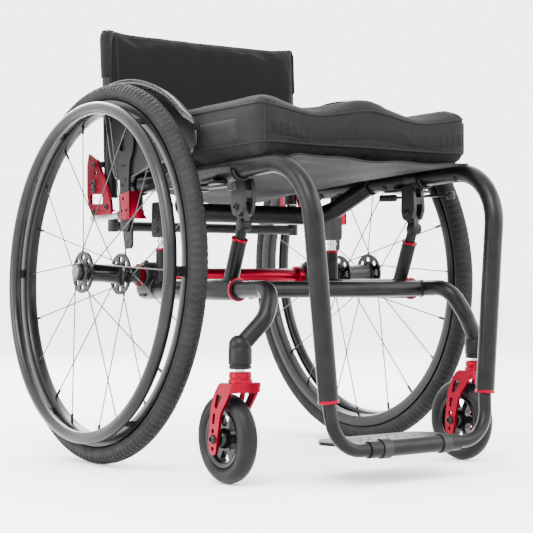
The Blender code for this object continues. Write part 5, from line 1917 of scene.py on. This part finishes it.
# ---- guards and locks -------------------------------------------------------
@dataclass
class SideGuard:
    """A lift-out mudguard that follows the tyre, on a strap that drops into the red channel."""

    side: Side
    x: float = 0.2090
    strap_x: float = 0.2125
    arc: float = 0.3050
    first: float = 71.5
    last: float = 133.0

    def rim(self, count: int) -> list[tuple[float, float]]:
        """The arc's directions as (cosine, sine) from rear to front.

        Args:
            count: Steps along the arc.

        Returns:
            The directions, count + 1 of them.
        """
        turns = [math.radians(self.first + (self.last - self.first) * k / count) for k in range(count + 1)]
        return [(math.cos(turn), math.sin(turn)) for turn in turns]

    def build_panel(self) -> None:
        """Build the panel and its rolled lip."""
        sign, tag, body = self.side.sign, self.side.tag, f"guard_{self.side.tag}"
        arc = [((self.arc - 0.0025) * c, AXLE.z + (self.arc - 0.0025) * s) for c, s in self.rim(48)]
        front = [(-0.2111, 0.5000), (-0.2100, 0.4860), (-0.1999, 0.4752)]
        lower = [(-0.0740, 0.4635), (-0.0142, 0.4487), (0.0200, 0.4480), (0.0349, 0.4518)]
        rear = [(0.0514, 0.4903), (0.0580, 0.5235), (0.0640, 0.5500), (0.0780, 0.5680), (0.0920, 0.5790)]
        outline = arc + soften(front + lower + rear, 0.006)[2:-2]
        panel = Shape().slab(outline, [], at(sign * self.x, 0, 0), Y, Z, 0.0028)
        panel.make(f"guard_panel_{tag}", Finish.STRAP, body, [f"side_guard_{tag}"], bevel=0.0007)
        section = [(-0.0170, 0.0010), (-0.0100, 0.0022), (-0.0045, 0.0052), (-0.0012, 0.0096),
                   (0.0002, 0.0128), (0.0016, 0.0122), (0.0010, 0.0086), (-0.0016, 0.0036),
                   (-0.0070, 0.0002), (-0.0160, -0.0008)]
        lip, rings = Shape(), []
        for k, (c, s) in enumerate(self.rim(72)):
            fade = min(1.0, 0.30 + k / 10, 0.30 + (72 - k) / 10)
            rings.append([lip.bm.verts.new(at(sign * (self.x + out * fade), (self.arc + r) * c,
                                              AXLE.z + (self.arc + r) * s)) for r, out in section])
        lip.skin(rings, False)
        lip.make(f"guard_lip_{tag}", Finish.GUARD, body, smooth=50)
        corners = soften([arc[-1]] + front + lower + rear, 0.008)[5:-3]
        edge = [at(sign * (self.x + 0.0010), a, b) for a, b in corners]
        Shape().sweep(edge, 0.0021, 12).make(f"guard_edge_{tag}", Finish.GUARD, body)

    def build_strap(self) -> None:
        """Build the strap with its rounded head, oval window and bolts."""
        sign, tag, body = self.side.sign, self.side.tag, f"guard_{self.side.tag}"
        outline = soften([(-0.0160, 0.3690), (-0.0110, 0.3640), (0.0070, 0.3640), (0.0120, 0.3690),
                          (0.0130, 0.4400), (0.0180, 0.4740), (0.0290, 0.4900), (0.0300, 0.5060),
                          (0.0240, 0.5220), (0.0120, 0.5320), (-0.0020, 0.5345),
                          (-0.0160, 0.5310), (-0.0280, 0.5200), (-0.0322, 0.5080), (-0.0300, 0.4900),
                          (-0.0190, 0.4740), (-0.0160, 0.4400)], 0.010, 5)
        oval = circle(0.0048, 0.5025, 0.0080, 36, 1.2)
        slit = [(-0.0080, 0.4700), (0.0060, 0.4690), (0.0060, 0.4675), (-0.0080, 0.4685)]
        strap = Shape().slab(outline, [oval, slit], at(sign * self.strap_x, 0, 0), Y, Z, 0.0042)
        strap.make(f"guard_strap_{tag}", Finish.STRAP, body, bevel=0.0009)
        rim = Shape()
        path = [at(sign * (self.strap_x + 0.0020), a, b) for a, b in circle(0.0048, 0.5025, 0.0090, 40, 1.2)]
        rim.sweep(path + path[:2], 0.0009, 8)
        rim.make(f"guard_strap_rim_{tag}", Finish.STRAP, body)
        bolts = Shape()
        for y, z in ((-0.0040, 0.4470), (0.0050, 0.4380)):
            bolts.bolt(at(sign * (self.strap_x + 0.0020), y, z), X * sign, 0.0026, 0.0016)
        bolts.make(f"guard_bolts_{tag}", Finish.FITTING, body)

    def build(self) -> None:
        """Build the mudguard."""
        self.build_panel()
        self.build_strap()


@dataclass
class WheelLock:
    """A flat lever that swings its shoe against the tyre."""

    side: Side
    arm: float = 0.0838

    def build(self) -> None:
        """Build the lever, its grip, shoe and pivot bolt."""
        sign, tag, body = self.side.sign, self.side.tag, f"lock_{self.side.tag}"
        pivot = at(sign * 0.2020, -0.2190, 0.4205)
        front = Vector((sign * math.cos(math.radians(-85.0)), math.sin(math.radians(-85.0)), 0))
        rear = Vector((sign * math.cos(math.radians(112.0)), math.sin(math.radians(112.0)), 0))
        shoe = pivot + front * self.arm
        lever = Shape()
        for way, length, half in ((front, self.arm, 0.0073), (rear, 0.055, 0.0060)):
            shape = soften([(-0.006, -half), (length + 0.006, -half * 0.8), (length + 0.006, half * 0.8),
                            (-0.006, half)], 0.0055, 6)
            lever.slab(shape, [], pivot, way, Z.cross(way), 0.0040)
        lever.rod(pivot - Z * 0.0046, pivot + Z * 0.0046, 0.0080, 32, 0.0008)
        lever.make(f"lock_lever_{tag}", Finish.FITTING, body, [f"wheel_lock_{tag}"], bevel=0.0006)
        tip = Shape().rod(shoe - Z * 0.0078, shoe + Z * 0.0048, 0.0062, 32, 0.0008)
        tip.make(f"lock_shoe_{tag}", Finish.FITTING, body)
        grip = Shape().rod(pivot + rear * 0.030, pivot + rear * 0.0600, 0.0058, 24, 0.0016)
        grip.make(f"lock_grip_{tag}", Finish.CASTER_TREAD, body)
        bolt = Shape().bolt(pivot + Z * 0.0044, Z, 0.0050, 0.0030)
        bolt.make(f"lock_bolt_{tag}", Finish.FITTING, body)


# ---- studio -----------------------------------------------------------------
@dataclass(frozen=True)
class Lamp:
    """A soft rectangular light that faces a point."""

    name: str
    place: Point3
    aim: Point3
    size: float
    power: float

    def build(self) -> None:
        """Add the light."""
        data = bpy.data.lights.new(self.name, "AREA")
        data.size = self.size
        data.energy = self.power
        lamp = bpy.data.objects.new(self.name, data)
        bpy.context.scene.collection.objects.link(lamp)
        lamp.location = self.place
        lamp.rotation_euler = (Vector(self.aim) - Vector(self.place)).to_track_quat("-Z", "Y").to_euler()


@dataclass(frozen=True)
class Studio:
    """Pale floor, bright surroundings, soft lamps and the camera."""

    eye: Point3 = (-1.2971, -1.8590, 0.2820)
    tilt: float = 90.6585
    heading: float = -35.01
    roll: float = -0.236
    lens: float = 93.8
    world: float = 4.6
    lamps: tuple[Lamp, ...] = (
        Lamp("key", (-1.6, -1.4, 2.2), (0, 0, 0.35), 1.4, 150.0),
        Lamp("fill", (1.7, -2.0, 1.4), (0, 0, 0.35), 1.8, 80.0),
        Lamp("back", (0.6, 2.4, 2.0), (0, 0, 0.45), 1.6, 150.0),
        Lamp("near", (-2.4, 0.4, 0.9), (-0.1, 0, 0.3), 1.2, 60.0),
    )

    def build(self) -> None:
        """Build the whole studio."""
        scene = bpy.context.scene
        floor = Shape()
        corners = [floor.bm.verts.new(Vector((x * 30, y * 30, -0.0005)))
                   for x, y in ((-1, -1), (1, -1), (1, 1), (-1, 1))]
        floor.bm.faces.new(corners)
        mesh = bpy.data.meshes.new("floor")
        floor.bm.to_mesh(mesh)
        floor.bm.free()
        ground = bpy.data.objects.new("floor", mesh)
        scene.collection.objects.link(ground)
        sheet = NodeSheet("pale_floor")
        color = sheet.blend(sheet.noise(2.0), (0.88, 0.88, 0.88), (0.92, 0.92, 0.92))
        sheet.link(color, sheet.shader.inputs["Base Color"])
        sheet.shader.inputs["Roughness"].default_value = 0.95
        mesh.materials.append(sheet.material)
        world = bpy.data.worlds.new("studio")
        world.use_nodes = True
        sky = world.node_tree.nodes["Background"]
        sky.inputs["Color"].default_value = (1.0, 1.0, 1.0, 1.0)
        sky.inputs["Strength"].default_value = self.world
        scene.world = world
        for lamp in self.lamps:
            lamp.build()
        data = bpy.data.cameras.new("camera")
        data.lens = self.lens
        camera = bpy.data.objects.new("camera", data)
        scene.collection.objects.link(camera)
        camera.location = self.eye
        heading = Matrix.Rotation(math.radians(self.heading), 4, "Z")
        turn = heading @ Matrix.Rotation(math.radians(self.tilt), 4, "X")
        camera.rotation_euler = (turn @ Matrix.Rotation(math.radians(self.roll), 4, "Z")).to_euler()
        scene.camera = camera


def save_size() -> None:
    """Update the view layer."""
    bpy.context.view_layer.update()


def main() -> None:
    """Build every sub-assembly in order."""
    logging.basicConfig(level=logging.INFO, format="%(name)s: %(message)s")
    for side in Side:
        RearWheel(side).build()
    BaseFrame().build()
    Struts().build()
    SeatFrame().build()
    Footrest().build()
    for side in Side:
        Caster(side).build()
        SideGuard(side).build()
        WheelLock(side).build()
    Backrest().build()
    Cushion().build()
    Studio().build()
    save_size()


if __name__ == "__main__":
    main()
